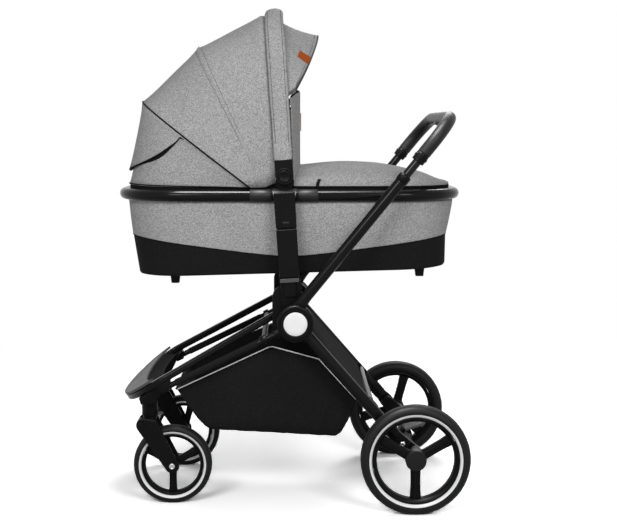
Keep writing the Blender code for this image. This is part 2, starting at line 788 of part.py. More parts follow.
def make_caster_socket(side, sign):
    """Housing under the front tube that holds a caster's stem."""
    drop = Vector((0, -(FRAME_TUBE_HEIGHT / 2) / math.cos(math.radians(FRONT_SLOPE)) + 0.002))
    flare = [
        front_point(SOCKET_FRONT) + drop,
        Vector((CASTER_X - STEM_RADIUS + 0.001, STEM_TOP_Z - 0.010)),
        Vector((CASTER_X + STEM_RADIUS - 0.001, STEM_TOP_Z - 0.008)),
        Vector((CASTER_X + STEM_RADIUS + 0.009, STEM_TOP_Z + 0.012)),
        front_point(SOCKET_REAR) + drop,
    ]
    y = sign * CASTER_Y
    socket = finish(
        f"caster_socket_{side}",
        rod(Vector((CASTER_X, y, STEM_BOTTOM_Z)), Vector((CASTER_X, y, STEM_TOP_Z)), STEM_RADIUS, 20),
        MATERIALS["plastic"],
    )
    grip = [
        rail_point(RAIL_END - 0.014), rail_point(RAIL_END + 0.012),
        rail_point(RAIL_END + 0.006) + Vector((0, -0.010)),
        rail_point(RAIL_END - 0.012) + Vector((0, -0.010)),
        front_point(SOCKET_REAR) + drop, front_point(SOCKET_REAR + 0.030) + drop,
    ]
    join(
        socket,
        prism(flare, y - sign * (STEM_RADIUS - 0.002), sign * (RAIL_Y - RAIL_RADIUS)),
        prism(hull(grip), sign * (RAIL_Y - 0.018), sign * (RAIL_Y + RAIL_RADIUS + 0.003)),
    )
    rail_y = sign * RAIL_Y
    cut(
        socket,
        rod(Vector((CASTER_X, y, STEM_BOTTOM_Z - 0.01)), Vector((CASTER_X, y, STEM_TOP_Z - 0.010)),
            STEM_PIN_RADIUS + RUN, 16),
        rod(at(rail_point(RAIL_END - 0.08), rail_y), at(rail_point(RAIL_END + SEAT), rail_y),
            RAIL_RADIUS + SEAT, 12),
        front_tube_shape(SEAT),
    )
    return socket


def make_swivel_lock(side, sign):
    """The small lever behind the stem that holds the caster straight."""
    y = sign * CASTER_Y
    x = CASTER_X + STEM_RADIUS + SEAT
    low = STEM_BOTTOM_Z + 0.0010
    lever = finish(
        f"swivel_lock_{side}",
        box((x, y - 0.006, low), (x + 0.013, y + 0.006, low + 0.0055)),
        MATERIALS["plastic"],
    )
    return soften(lever, 0.0015)


def make_basket():
    """Shopping basket: an open cloth bag with sagging sides, hung between rails and legs."""
    top = [
        Vector((-0.2720, 0.279)), Vector((-0.0463, 0.383)), Vector((0.0697, 0.3515)),
        Vector((0.0950, 0.328)), Vector((0.1740, 0.252)),
    ]
    bottom = [
        Vector((0.1400, 0.200)), Vector((0.1237, 0.168)), Vector((0.1097, 0.160)),
        Vector((-0.1930, 0.178)), Vector((-0.2090, 0.188)),
    ]
    half = 0.190
    basket = finish("basket", prism(top + bottom, -half, half), MATERIALS["black_cloth"])
    soften(basket, 0.012, 2)
    wall = 0.004
    inner_top = [
        top[0] + Vector((0.008, 0.050)), top[1] + Vector((0, 0.060)),
        top[4] + Vector((-0.004, 0.100)), top[4] + Vector((-wall * 1.6, 0.002)),
    ]
    inner_bottom = [
        bottom[0] + Vector((-wall * 1.3, 0.002)), bottom[2] + Vector((-0.004, wall)),
        bottom[3] + Vector((0.004, wall)), top[0] + Vector((wall * 2, -0.004)),
    ]
    cut(basket, prism(inner_top + inner_bottom, -half + wall, half - wall))
    sleeves = []
    bores = []
    for sign in (-1, 1):
        y = sign * RAIL_Y
        ends = [rail_point(CHANNEL_START), rail_point(CHANNEL_END)]
        under = [p - Vector((0, RAIL_RADIUS * 0.95)) for p in ends]
        web = [p - Vector((0, 0.0025)) for p in under[::-1]]
        drop = [p - Vector((0, 0.046)) for p in ends[::-1]]
        sleeves += [
            rod(at(ends[0], y), at(ends[1], y), RAIL_RADIUS + SEAT + CHANNEL_WALL, 8),
            prism(under + web, sign * (half - 0.002), y),
            prism(under + drop, sign * (half - 0.0035), sign * (half - 0.0010)),
        ]
        bores.append(rod(
            at(rail_point(CHANNEL_START - 0.01), y), at(rail_point(CHANNEL_END + 0.01), y),
            RAIL_RADIUS + SEAT, 12,
        ))
    join(basket, *sleeves)
    cut(basket, *bores)
    return basket


# Rear legs

def make_rear_leg(side, sign):
    """A leg with its knuckle at the hub, a ribbed sleeve and a rounded end bracket."""
    along = (LEG_BOLT - HUB).normalized()
    length = (LEG_BOLT - HUB).length
    across = Vector((-along.y, along.x))
    y = sign * LEG_Y
    inner = sign * LEG_KNUCKLE_Y
    outer = sign * (LEG_KNUCKLE_Y + LEG_KNUCKLE_THICKNESS)
    start = CAP_RADIUS + 0.004
    leg = finish(
        f"rear_leg_{side}",
        rod(at(HUB + along * start, y), at(HUB + along * (length - LEG_END_GAP), y), LEG_TUBE_RADIUS, 12),
        MATERIALS["frame"],
    )
    reach = HUB + along * (start + 0.02)
    half = across * (LEG_TUBE_RADIUS - 0.0015)
    neck = [HUB - half, reach - half, reach + half, HUB + half]
    sleeve_end = HUB + along * (length - LEG_END_GAP - 0.001)
    sleeve_start = sleeve_end - along * LEG_SLEEVE_LENGTH
    end_low = sign * (LEG_Y - LEG_END_THICKNESS / 2 + 0.004)
    end_high = sign * (LEG_Y + LEG_END_THICKNESS / 2 + 0.004)
    shapes = [
        prism(circle(HUB, HUB_RADIUS, 20), inner, outer),
        prism(neck, inner + sign * 0.0005, outer - sign * 0.0005),
        rod(at(sleeve_start, y), at(sleeve_end, y), LEG_SLEEVE_RADIUS, 10),
        prism(hull_of_circles([
            (LEG_BOLT, LEG_END_RADIUS), (LEG_BOLT - along * (LEG_END_GAP + 0.006), LEG_END_RADIUS * 0.78),
        ]), end_low, end_high),
        rod(at(LEG_BOLT, end_low), at(LEG_BOLT, end_high + sign * 0.0025), LEG_BOLT_RADIUS + 0.0025, 12),
    ]
    pitch = LEG_SLEEVE_LENGTH / (LEG_SLEEVE_RIBS + 1)
    for i in range(LEG_SLEEVE_RIBS):
        middle = sleeve_start + along * pitch * (i + 0.6)
        shapes.append(rod(at(middle, y), at(middle + along * pitch * 0.45, y),
                          LEG_SLEEVE_RADIUS + 0.0012, 10))
    join(leg, *shapes)
    cut(
        leg,
        rod(at(HUB, inner - sign * 0.01), at(HUB, outer + sign * 0.01), HUB_PIN_RADIUS + RUN, 16),
        rod(at(LEG_BOLT, end_low - sign * 0.005), at(LEG_BOLT, end_low + sign * 0.008),
            LEG_BOLT_RADIUS + RUN, 12),
    )
    return leg


def make_cross_brace():
    """The tube between the rear legs, flattened onto their inner sides."""
    along = (LEG_BOLT - HUB).normalized()
    up = Vector((-along.y, along.x))
    middle = HUB + along * BRACE_AT + up * 0.006
    reach = LEG_Y - LEG_TUBE_RADIUS - SEAT
    brace = finish(
        "rear_cross_brace",
        rod(at(middle, -reach), at(middle, reach), BRACE_RADIUS, 12),
        MATERIALS["frame"],
    )
    for sign in (-1, 1):
        plate = hull_of_circles([
            (middle - along * 0.010, 0.009), (middle + along * 0.014, 0.009),
        ])
        join(brace, prism(plate, sign * (reach - 0.004), sign * (reach + 0.0001)))
    return brace


def make_axle_beam():
    """The beam between the rear wheels, with a rounded housing and stub axle each side."""
    reach = LEG_Y
    beam = finish(
        "axle_beam",
        rod(at(REAR_AXLE, -reach), at(REAR_AXLE, reach), AXLE_BEAM_RADIUS, 12),
        MATERIALS["frame"],
    )
    lug_outer = LEG_Y - LEG_END_THICKNESS / 2 + 0.004 - RUN
    for sign in (-1, 1):
        join(
            beam,
            prism(circle(REAR_AXLE, AXLE_HOUSING_RADIUS, 16), sign * (lug_outer - 0.0205),
                  sign * (LEG_Y + 0.014)),
            prism(hull_of_circles([(REAR_AXLE, AXLE_HOUSING_RADIUS - 0.001), (LEG_BOLT, 0.0160)]),
                  sign * (lug_outer - 0.020), sign * lug_outer),
            rod(at(REAR_AXLE, sign * (LEG_Y + 0.010)), at(REAR_AXLE, sign * (WHEEL_Y + 0.012)),
                STUB_AXLE_RADIUS, 16),
            rod(at(LEG_BOLT, sign * (lug_outer - 0.004)), at(LEG_BOLT, sign * (lug_outer + 0.0055)),
                LEG_BOLT_RADIUS, 12),
        )
    return beam


def make_brake_pedal():
    """A foot pedal on a sleeve round the middle of the axle beam."""
    out = turned(18)
    up = Vector((-out.y, out.x))
    half = PEDAL_WIDTH / 2
    sleeve = AXLE_BEAM_RADIUS + RUN
    pedal = finish(
        "brake_pedal",
        rod(at(REAR_AXLE, -half * 0.7), at(REAR_AXLE, half * 0.7), sleeve + 0.005, 16),
        MATERIALS["plastic"],
    )
    root = REAR_AXLE + up * (sleeve + 0.0015)
    tread = [
        root - up * PEDAL_THICKNESS * 0.4,
        root + out * PEDAL_LENGTH - up * PEDAL_THICKNESS * 0.4,
        root + out * (PEDAL_LENGTH + 0.004) + up * PEDAL_THICKNESS * 0.2,
        root + out * PEDAL_LENGTH + up * PEDAL_THICKNESS * 0.6,
        root + up * PEDAL_THICKNESS * 0.4,
    ]
    join(pedal, prism(tread, -half, half))
    cut(pedal, rod(at(REAR_AXLE, -half * 2), at(REAR_AXLE, half * 2), sleeve, 16))
    return pedal


# Casters

def arm_layers(sign):
    """Inner and outer faces of both arms of one caster, as y values."""
    y = sign * CASTER_Y
    near = ARM_INNER
    far = ARM_INNER + CASTER_ARM_THICKNESS
    return ((y - far, y - near), (y + near, y + far))


def make_caster_yoke(side, sign):
    """The turning head: a stem pin above a block that the arms are bolted to."""
    y = sign * CASTER_Y
    half = ARM_INNER - RUN
    outline = hull_of_circles([
        (CASTER_BOLT, 0.0125),
        (Vector((CASTER_X + 0.008, STEM_BOTTOM_Z - 0.0095)), 0.0045),
        (Vector((CASTER_X + 0.004, CASTER_BOLT.y - 0.004)), 0.006),
    ])
    top = STEM_BOTTOM_Z - RUN
    yoke = finish(f"caster_yoke_{side}", prism(outline, y - half, y + half), MATERIALS["plastic"])
    bolt_reach = ARM_INNER + CASTER_ARM_THICKNESS + RUN
    join(
        yoke,
        rod(Vector((CASTER_X, y, STEM_BOTTOM_Z - 0.012)), Vector((CASTER_X, y, top)), 0.0165, 16),
        rod(Vector((CASTER_X, y, top - 0.004)), Vector((CASTER_X, y, top + 0.026)),
            STEM_PIN_RADIUS, 16),
        rod(at(CASTER_BOLT, y - bolt_reach - 0.001), at(CASTER_BOLT, y + bolt_reach + 0.001),
            CASTER_BOLT_RADIUS, 12),
        rod(at(CASTER_BOLT, y - bolt_reach - 0.0025), at(CASTER_BOLT, y - bolt_reach), 0.0068, 12),
        rod(at(CASTER_BOLT, y + bolt_reach), at(CASTER_BOLT, y + bolt_reach + 0.0025), 0.0068, 12),
    )
    return yoke


def make_caster_arm(side, sign):
    """Both arms of a caster with the wheel's axle between them."""
    y = sign * CASTER_Y
    outline = hull_of_circles([
        (CASTER_BOLT + Vector((0.006, 0.000)), 0.0175),
        (CASTER_BOLT + Vector((0.031, 0.0045)), 0.0085),
        (FRONT_AXLE, 0.0172),
    ])
    layers = arm_layers(sign)
    arm = finish(
        f"caster_arm_{side}",
        rod(at(FRONT_AXLE, layers[0][0] - 0.002), at(FRONT_AXLE, layers[1][1] + 0.002),
            FRONT_AXLE_RADIUS + 0.0012, 12),
        MATERIALS["plastic"],
    )
    join(arm, *[prism(outline, low, high) for low, high in layers])
    cut(arm, rod(at(CASTER_BOLT, y - 0.06), at(CASTER_BOLT, y + 0.06), CASTER_BOLT_RADIUS + RUN, 12))
    return arm


# Push handle

def make_handle_tube(side, sign):
    """A lower handle tube with its knuckle at the hub and a guide cap at its top."""
    y = sign * HANDLE_Y
    inner = sign * HANDLE_KNUCKLE_Y
    outer = sign * (HANDLE_KNUCKLE_Y + HANDLE_KNUCKLE_THICKNESS)
    along = turned(HANDLE_ANGLE)
    across = Vector((-along.y, along.x))
    start = handle_point(HANDLE_TUBE_START)
    end = handle_point(HANDLE_TUBE_END)
    tube = finish(
        f"handle_tube_{side}",
        rod(at(start, y), at(end - along * 0.004, y), HANDLE_TUBE_RADIUS, 16),
        MATERIALS["frame"],
    )
    half = across * (HANDLE_TUBE_RADIUS - 0.001)
    foot = handle_point(0)
    reach = handle_point(HANDLE_TUBE_START + 0.02)
    neck = [foot - half - across * 0.008, reach - half, reach + half, foot + half]
    join(
        tube,
        prism(circle(HUB, HUB_RADIUS, 20), inner, outer),
        prism(neck, inner + sign * 0.0005, outer - sign * 0.0005),
        rod(at(end - along * HANDLE_CAP_LENGTH, y), at(end, y), HANDLE_CAP_RADIUS, 16),
    )
    bore = handle_point(HANDLE_INNER_START - 0.01)
    cut(
        tube,
        rod(at(HUB, inner - sign * 0.01), at(HUB, outer + sign * 0.01), HUB_PIN_RADIUS + RUN, 16),
        rod(at(bore, y), at(end + along * 0.01, y), HANDLE_BORE_RADIUS, 12),
    )
    return tube


def handle_path(start, count=5):
    """Centreline of the upper handle: up the left tube, across, and down the right."""
    left = []
    bend = CROSSBAR_AT - HANDLE_BEND
    for along in (start, (start + bend) / 2):
        left.append(at(handle_point(along), -HANDLE_Y))
    for i in range(count + 1):
        angle = math.pi / 2 * i / count
        along = bend + HANDLE_BEND * math.sin(angle)
        left.append(at(handle_point(along), -HANDLE_Y + HANDLE_BEND * (1 - math.cos(angle))))
    mirrored = [Vector((p.x, -p.y, p.z)) for p in left[::-1]]
    slope = turned(HANDLE_ANGLE)
    return left + mirrored, Vector((-slope.y, 0, slope.x))


def make_handle_inner():
    """The telescoping upper tube, one bend from side to side."""
    path, normal = handle_path(HANDLE_INNER_START)
    section = circle((0, 0), HANDLE_INNER_RADIUS, 10, math.pi / 10)
    return finish("handle_inner", sweep(path, normal, section), MATERIALS["frame"])


def make_handle_grip():
    """The padded leatherette grip round the bend, with a pocket for its button."""
    path, normal = handle_path(TRIGGER_START + TRIGGER_LENGTH + SEAT)
    section = circle((0, 0), GRIP_RADIUS, 8, math.pi / 8)
    grip = finish("handle_grip", sweep(path, normal, section), MATERIALS["leather"])
    bore_path, normal = handle_path(TRIGGER_START)
    bore = circle((0, 0), HANDLE_INNER_RADIUS + SEAT, 10, math.pi / 10)
    along = turned(HANDLE_ANGLE)
    across = Vector((-along.y, along.x))
    middle = handle_point(CROSSBAR_AT)
    half = BUTTON_WIDTH / 2 + SEAT
    pocket = [
        middle - along * 0.0115 - across * 0.0064, middle - along * 0.0115 + across * 0.0064,
        middle - along * 0.03 + across * 0.0064, middle - along * 0.03 - across * 0.0064,
    ]
    cut(grip, sweep(bore_path, normal, bore), prism(pocket, -half, half))
    return grip


def make_handle_button():
    """The release button under the middle of the crossbar."""
    along = turned(HANDLE_ANGLE)
    across = Vector((-along.y, along.x))
    middle = handle_point(CROSSBAR_AT)
    face = middle - along * (HANDLE_INNER_RADIUS + 0.0033)
    tip = middle - along * (GRIP_RADIUS + 0.0045)
    outline = [
        face - across * 0.006, face + across * 0.006, tip + across * 0.0045, tip - across * 0.0045,
    ]
    button = finish("handle_button", prism(outline, -BUTTON_WIDTH / 2, BUTTON_WIDTH / 2),
                    MATERIALS["grey_plastic"])
    return soften(button, 0.001)


def make_trigger(side, sign):
    """The collar under the grip that frees the telescope."""
    y = sign * HANDLE_Y
    low = handle_point(TRIGGER_START)
    high = handle_point(TRIGGER_START + TRIGGER_LENGTH)
    along = turned(HANDLE_ANGLE)
    trigger = finish(
        f"height_trigger_{side}",
        rod(at(low, y), at(high, y), TRIGGER_RADIUS, 14),
        MATERIALS["plastic"],
    )
    waist = low + along * TRIGGER_LENGTH * 0.45
    join(trigger, rod(at(waist, y), at(waist + along * 0.006, y), TRIGGER_RADIUS + 0.0012, 14))
    cut(trigger, rod(at(low - along * 0.01, y), at(high + along * 0.01, y),
                     HANDLE_INNER_RADIUS + SEAT, 12))
    return trigger


# Carrycot

def cot_outline(inset, count=6):
    """Points (x, y) round the cot at this distance inside the rim's centreline."""
    corner = RIM_CORNER - inset
    half_length = RIM_HALF_LENGTH - inset
    half_width = RIM_HALF_WIDTH - inset
    points = []
    for quarter in range(4):
        sx, sy = ((1, 1), (-1, 1), (-1, -1), (1, -1))[quarter]
        for i in range(count):
            angle = math.pi / 2 * (quarter + i / (count - 1))
            points.append(Vector((
                sx * (half_length - corner) + corner * math.cos(angle),
                sy * (half_width - corner) + corner * math.sin(angle),
            )))
    return points


def cot_bottom(x):
    return COT_BOTTOM_Z + COT_BOTTOM_RISE * x


def tray_top(x):
    """The curved line where the black base meets the pale sides."""
    rounded = math.sqrt(x * x + TRAY_MIDDLE_ROUND ** 2) - TRAY_MIDDLE_ROUND
    return TRAY_MIDDLE_Z + TRAY_END_SLOPE * rounded


def cot_ring(inset, height):
    """An outline of the cot in space. height is a number or a function of x."""
    level = height if callable(height) else lambda x: height
    return [Vector((p.x, p.y, level(p.x))) for p in cot_outline(inset)]


def side_inset(share):
    """How far the cot's wall lies inside the rim, from bottom (0) to shoulder (1)."""
    return COT_BOTTOM_INSET + (SHOULDER_INSET - COT_BOTTOM_INSET) * share ** 0.8


def tray_share(x):
    return (tray_top(x) - cot_bottom(x)) / (SHOULDER_Z - cot_bottom(x))


def make_cot_rim():
    path = [Vector((p.x, p.y, RIM_Z)) for p in cot_outline(0.0, 8)]
    section = circle((0, 0), RIM_RADIUS, 8, math.pi / 8)
    rim = sweep(path, Vector((0, 0, 1)), section, closed=True)
    return finish("cot_rim", rim, MATERIALS["frame"])


def make_cot_body():
    """The pale sides of the cot, with the dark lip standing inside the rim."""
    share = tray_share(0.0)
    middle = 0.5 * (share + 1)
    low = lambda x: tray_top(x) + SEAT
    half = lambda x: 0.5 * (tray_top(x) + SHOULDER_Z)
    wall = LIP_INSET + COT_WALL
    rings = [
        cot_ring(side_inset(share), low),
        cot_ring(side_inset(middle), half),
        cot_ring(SHOULDER_INSET, SHOULDER_Z),
        cot_ring(LIP_INSET, SHOULDER_Z + 0.001),
        cot_ring(LIP_INSET, LIP_TOP_Z),
        cot_ring(wall, LIP_TOP_Z),
        cot_ring(wall, SHOULDER_Z - 0.01),
        cot_ring(side_inset(share) + COT_WALL, low),
    ]
    return finish("cot_body", loft(rings, closed=True), MATERIALS["melange"])


def make_cot_base():
    """The black base under the sides, a shallow tray on four feet."""
    share = tray_share(0.0)
    high = lambda x: tray_top(x)
    floor = lambda x: cot_bottom(x) + COT_FLOOR
    rings = [
        cot_ring(COT_BOTTOM_INSET + 0.010, cot_bottom),
        cot_ring(COT_BOTTOM_INSET, lambda x: cot_bottom(x) + 0.008),
        cot_ring(side_inset(share), high),
        cot_ring(side_inset(share) + COT_WALL, high),
        cot_ring(COT_BOTTOM_INSET + COT_WALL, floor),
    ]
    base = finish("cot_base", loft(rings), MATERIALS["black_cloth"])
    feet = []
    for x in (FOOT_FRONT_X, FOOT_REAR_X):
        for sign in (-1, 1):
            y = sign * FOOT_Y
            rings = []
            foot_bottom = cot_bottom(x) - FOOT_HEIGHT
            for z, half in ((foot_bottom, 0.42), (cot_bottom(x) + 0.004, 0.54)):
                w = FOOT_WIDTH * half
                rings.append([
                    Vector((x - w, y - w, z)), Vector((x + w, y - w, z)),
                    Vector((x + w, y + w, z)), Vector((x - w, y + w, z)),
                ])
            feet.append(loft(rings))
    return join(base, *feet)


def make_mattress():
    """The cot's mattress, crowned in the middle and drawn in at its sides."""
    under = lambda x: cot_bottom(x) + COT_FLOOR + SEAT
    inset = COT_BOTTOM_INSET + COT_WALL + 0.006
    rings = [
        cot_ring(inset + 0.008, under),
        cot_ring(inset, lambda x: under(x) + MATTRESS_THICKNESS * 0.35),
        cot_ring(inset + 0.001, lambda x: under(x) + MATTRESS_THICKNESS * 0.70),
        cot_ring(inset + 0.012, lambda x: under(x) + MATTRESS_THICKNESS * 0.93),
        cot_ring(inset + 0.045, lambda x: under(x) + MATTRESS_THICKNESS),
        cot_ring(inset + 0.110, lambda x: under(x) + MATTRESS_THICKNESS + 0.003),
    ]
    return finish("mattress", loft(rings), MATERIALS["mattress"])


def make_cot_post(side, sign):
    """One moulding: a clamp round the rim, the post, its tongue and the hood's plate."""
    across = Vector((POST_UP.y, -POST_UP.x))
    half = across * (POST_WIDTH / 2)
    foot = POST_FOOT
    head = foot + POST_UP * ((RIM_Z + 0.010 - POST_BOTTOM_Z) / POST_UP.y)
    inner = sign * (POST_Y - POST_THICKNESS / 2)
    outer = sign * (POST_Y + POST_THICKNESS / 2)
    post = finish(
        f"cot_post_{side}",
        prism([foot - half * 0.97, foot + half * 0.97, head + half * 1.04, head - half * 1.04],
              inner, outer),
        MATERIALS["plastic"],
    )
    slot = across * (TONGUE_WIDTH / 2)
    tip = foot - POST_UP * TONGUE_DEPTH
    root = foot + POST_UP * 0.006
    tongue = [root - slot, root + slot, tip + slot * 0.9, tip - slot * 0.9]
    rim_y = sign * RIM_HALF_WIDTH
    plate_low = sign * HOOD_PLATE_Y
    plate_high = sign * (HOOD_PLATE_Y + HOOD_PLATE_THICKNESS)
    plate = hull([
        *circle(HOOD_AXIS, 0.017, 20),
        Vector((HOOD_X - 0.019, RIM_Z + 0.006)), Vector((HOOD_X + 0.019, RIM_Z + 0.006)),
    ])
    collar_low = RIM_Z - CLAMP_RADIUS + 0.0005
    collar = [
        Vector((HOOD_X - 0.031, collar_low)), Vector((HOOD_X + 0.031, collar_low)),
        Vector((HOOD_X + 0.026, RIM_Z + CLAMP_RADIUS - 0.0005)),
        Vector((HOOD_X - 0.026, RIM_Z + CLAMP_RADIUS - 0.0005)),
    ]
    block_outer = HOOD_PLATE_Y + HOOD_PLATE_THICKNESS + RUN + BOW_BLOCK_THICKNESS - 0.0060
    join(
        post,
        prism(tongue, sign * (POST_Y - TONGUE_THICKNESS / 2), sign * (POST_Y + TONGUE_THICKNESS / 2)),
        rod(Vector((CLAMP_FRONT_X, rim_y, RIM_Z)), Vector((CLAMP_REAR_X, rim_y, RIM_Z)),
            CLAMP_RADIUS, 20),
        prism(collar, rim_y, outer - sign * 0.0008),
        prism(plate, plate_low, plate_high),
        rod(at(HOOD_AXIS, plate_high - sign * 0.003), at(HOOD_AXIS, sign * block_outer), 0.005, 12),
        rod(at(HOOD_AXIS, plate_low + sign * 0.003), at(HOOD_AXIS, plate_low - sign * 0.0150), 0.004, 12),
    )
    seat_radius = RIM_RADIUS + SEAT
    cut(post, rod(Vector((CLAMP_FRONT_X - 0.01, rim_y, RIM_Z)),
                  Vector((CLAMP_REAR_X + 0.01, rim_y, RIM_Z)), seat_radius, 8))
    button = POST_FOOT + POST_UP * 0.132
    recess = [
        button - across * 0.0085 - POST_UP * 0.0038, button + across * 0.0085 - POST_UP * 0.0038,
        button + across * 0.0085 + POST_UP * 0.0038, button - across * 0.0085 + POST_UP * 0.0038,
    ]
    cut(post, prism(recess, outer - sign * 0.004, outer + sign * 0.01))
    return post


def make_post_button(side, sign):
    """The catch on the post that frees the carrycot."""
    across = Vector((POST_UP.y, -POST_UP.x))
    outer = POST_Y + POST_THICKNESS / 2
    button = POST_FOOT + POST_UP * 0.132
    wide = 0.0085 - RUN
    tall = 0.0038 - RUN
    outline = [
        button - across * wide - POST_UP * tall, button + across * wide - POST_UP * tall,
        button + across * wide + POST_UP * tall, button - across * wide + POST_UP * tall,
    ]
    catch = prism(outline, sign * (outer - 0.0015), sign * (outer + 0.001))
    return finish(f"post_button_{side}", catch, MATERIALS["grey_plastic"])


def apron_half_width(x):
    """Half the width of the lip's outline at this x."""
    corner = RIM_CORNER - LIP_INSET
    straight = RIM_HALF_LENGTH - LIP_INSET - corner
    half_width = RIM_HALF_WIDTH - LIP_INSET
    over = max(0.0, x - straight)
    return half_width - corner + math.sqrt(max(0.0, corner ** 2 - over ** 2))


def make_apron():
    """Padded cover over the foot end, arched across and falling to the lip at the end."""
    profile = smooth_curve([
        Vector((APRON_FRONT_X, 0.041)), Vector((0.0850, 0.047)), Vector((0.1467, 0.0505)),
        Vector((0.2227, 0.0445)), Vector((0.2817, 0.0360)), Vector((0.3317, 0.0245)),
        Vector((0.3740, 0.0070)), Vector((0.3960, 0.0016)),
    ], 1)
    base = LIP_TOP_Z + SEAT + APRON_THICKNESS * 0.6
    rows = []
    steps = 12
    for x, height in profile:
        row = []
        for i in range(steps + 1):
            angle = math.pi * i / steps
            y = -math.cos(angle) * apron_half_width(x)
            arch = math.sin(angle) ** 0.75
            row.append(Vector((x, y, base + height * arch)))
        rows.append(row)
    return sheet("apron", rows, -APRON_THICKNESS, MATERIALS["melange"])


def make_wind_flap():
    """The flap that stands up at the apron's front edge, wrapped back at its sides."""
    low = LIP_TOP_Z + SEAT
    rows = []
    steps = 10
    levels = 5
    for j in range(levels + 1):
        z = low + (FLAP_TOP_Z - low) * j / levels
        row = []
        for i in range(steps + 1):
            share = -1 + 2 * i / steps
            lean = 0.006 + 0.016 * (z - low) / (FLAP_TOP_Z - low)
            corner = 1 - 0.10 * abs(share) ** 8 * (j / levels) ** 4
            x = APRON_FRONT_X - SEAT - lean * abs(share) ** 3
            y = share * (FLAP_HALF_WIDTH - 0.010 * (1 - j / levels))
            row.append(Vector((x, y, low + (z - low) * corner)))
        rows.append(row)
    return sheet("wind_flap", rows, FLAP_THICKNESS, MATERIALS["melange"])


# Hood

def hoop(angle, reach, half_width, count, start=0.0, power=2.7, foot_y=None):
    """Points of a hoop from the left joint over the top to the right joint."""
    direction = turned(angle)
    points = []
    for i in range(count + 1):
        turn = math.pi * i / count
        rise = max(0.0, math.sin(turn)) ** (2 / power)
        across = math.copysign(abs(math.cos(turn)) ** (2 / power), -math.cos(turn))
        along = start + (reach - start) * rise
        half = half_width
        if foot_y is not None:
            half = half_width + (foot_y - half_width) * (1 - rise) ** 4
        points.append(at(HOOD_AXIS + direction * along, across * half))
    return points


BOW_Y = HOOD_PLATE_Y + HOOD_PLATE_THICKNESS + RUN + 0.0095


def hoop_normal(angle):
    direction = turned(angle)
    return Vector((-direction.y, 0, direction.x))


def make_hood_bow():
    """The front hoop with a block at each end that turns on the hood's plates."""
    path = hoop(BOW_ANGLE, BOW_REACH, BOW_Y, 14, start=0.020)
    section = circle((0, 0), BOW_TUBE_RADIUS, 6, math.pi / 6)
    bow = finish("hood_bow", sweep(path, hoop_normal(BOW_ANGLE), section), MATERIALS["plastic"])
    direction = turned(BOW_ANGLE)
    across = Vector((-direction.y, direction.x))
    low = HOOD_PLATE_Y + HOOD_PLATE_THICKNESS + RUN
    high = low + BOW_BLOCK_THICKNESS
    neck_start = HOOD_AXIS
    neck_end = HOOD_AXIS + direction * (SLEEVE_START - 0.002)
    neck = [
        neck_start - across * 0.0165, neck_start + across * 0.0165,
        neck_end + across * 0.0200, neck_end - across * 0.0200,
    ]
    for sign in (-1, 1):
        join(
            bow,
            prism(circle(HOOD_AXIS, BOW_BLOCK_RADIUS, 16), sign * low, sign * high),
            prism(neck, sign * (low + 0.001), sign * (high - 0.002)),
        )
    for sign in (-1, 1):
        cut(
            bow,
            rod(at(HOOD_AXIS, sign * (low - 0.01)), at(HOOD_AXIS, sign * (high - 0.005)),
                0.005 + RUN, 12),
            rod(at(HOOD_AXIS, sign * (high - 0.0055)), at(HOOD_AXIS, sign * (high + 0.01)),
                HOOD_BUTTON_RADIUS + RUN, 16),
        )
    return bow


def make_bow_sleeve():
    """The padded cloth sleeve over the bow, drawn in where it meets the blocks."""
    full = hoop(BOW_ANGLE, BOW_REACH, BOW_Y, 22, start=0.020)
    path = [p for p in full if p.z > HOOD_Z + SLEEVE_START]
    count = len(path)
    section = oval(SLEEVE_DEPTH, SLEEVE_WIDTH, 8, 2.6)
    scales = [1.0 - 0.10 * (2 * abs(i / (count - 1) - 0.5)) ** 6 for i in range(count)]
    normal = hoop_normal(BOW_ANGLE)
    sleeve = finish("bow_sleeve", sweep(path, normal, section, scales=scales), MATERIALS["melange"])
    inner = circle((0, 0), BOW_TUBE_RADIUS + SEAT, 6, math.pi / 6)
    cut(sleeve, sweep(hoop(BOW_ANGLE, BOW_REACH, BOW_Y, 14, start=0.020), normal, inner))
    return sleeve


def make_hood_rib(name, angle, reach, foot_y):
    """A thin hoop with an eyelet at each end, nested inside the bow."""
    path = hoop(angle, reach, foot_y + RIB_FLARE, 14, start=0.006, foot_y=foot_y)
    section = circle((0, 0), RIB_RADIUS, 6)
    rib = finish(name, sweep(path, hoop_normal(angle), section), MATERIALS["steel"])
    for sign in (-1, 1):
        join(rib, rod(at(HOOD_AXIS, sign * (foot_y - 0.0028)), at(HOOD_AXIS, sign * (foot_y + 0.0028)),
                      0.0085, 12))
    for sign in (-1, 1):
        cut(rib, rod(at(HOOD_AXIS, sign * (foot_y - 0.01)), at(HOOD_AXIS, sign * (foot_y + 0.01)),
                     0.004 + RUN, 12))
    return rib


def make_hood_button(side, sign):
    high = HOOD_PLATE_Y + HOOD_PLATE_THICKNESS + RUN + BOW_BLOCK_THICKNESS
    shape = rod(at(HOOD_AXIS, sign * (high - 0.0025)), at(HOOD_AXIS, sign * (high + 0.0015)),
                HOOD_BUTTON_RADIUS, 12)
    return finish(f"hood_button_{side}", shape, MATERIALS["plastic"])


def cloth_hoop(top, foot, half_width, foot_half_width, count=14):
    """A line of cloth from the left foot over the top to the right foot."""
    points = []
    for i in range(count + 1):
        turn = math.pi * i / count
        rise = max(0.0, math.sin(turn)) ** 0.74
        across = math.copysign(abs(math.cos(turn)) ** 0.74, -math.cos(turn))
        half = half_width + (foot_half_width - half_width) * (1 - rise) ** 3
        points.append(at(foot + (top - foot) * rise, across * half))
    return points


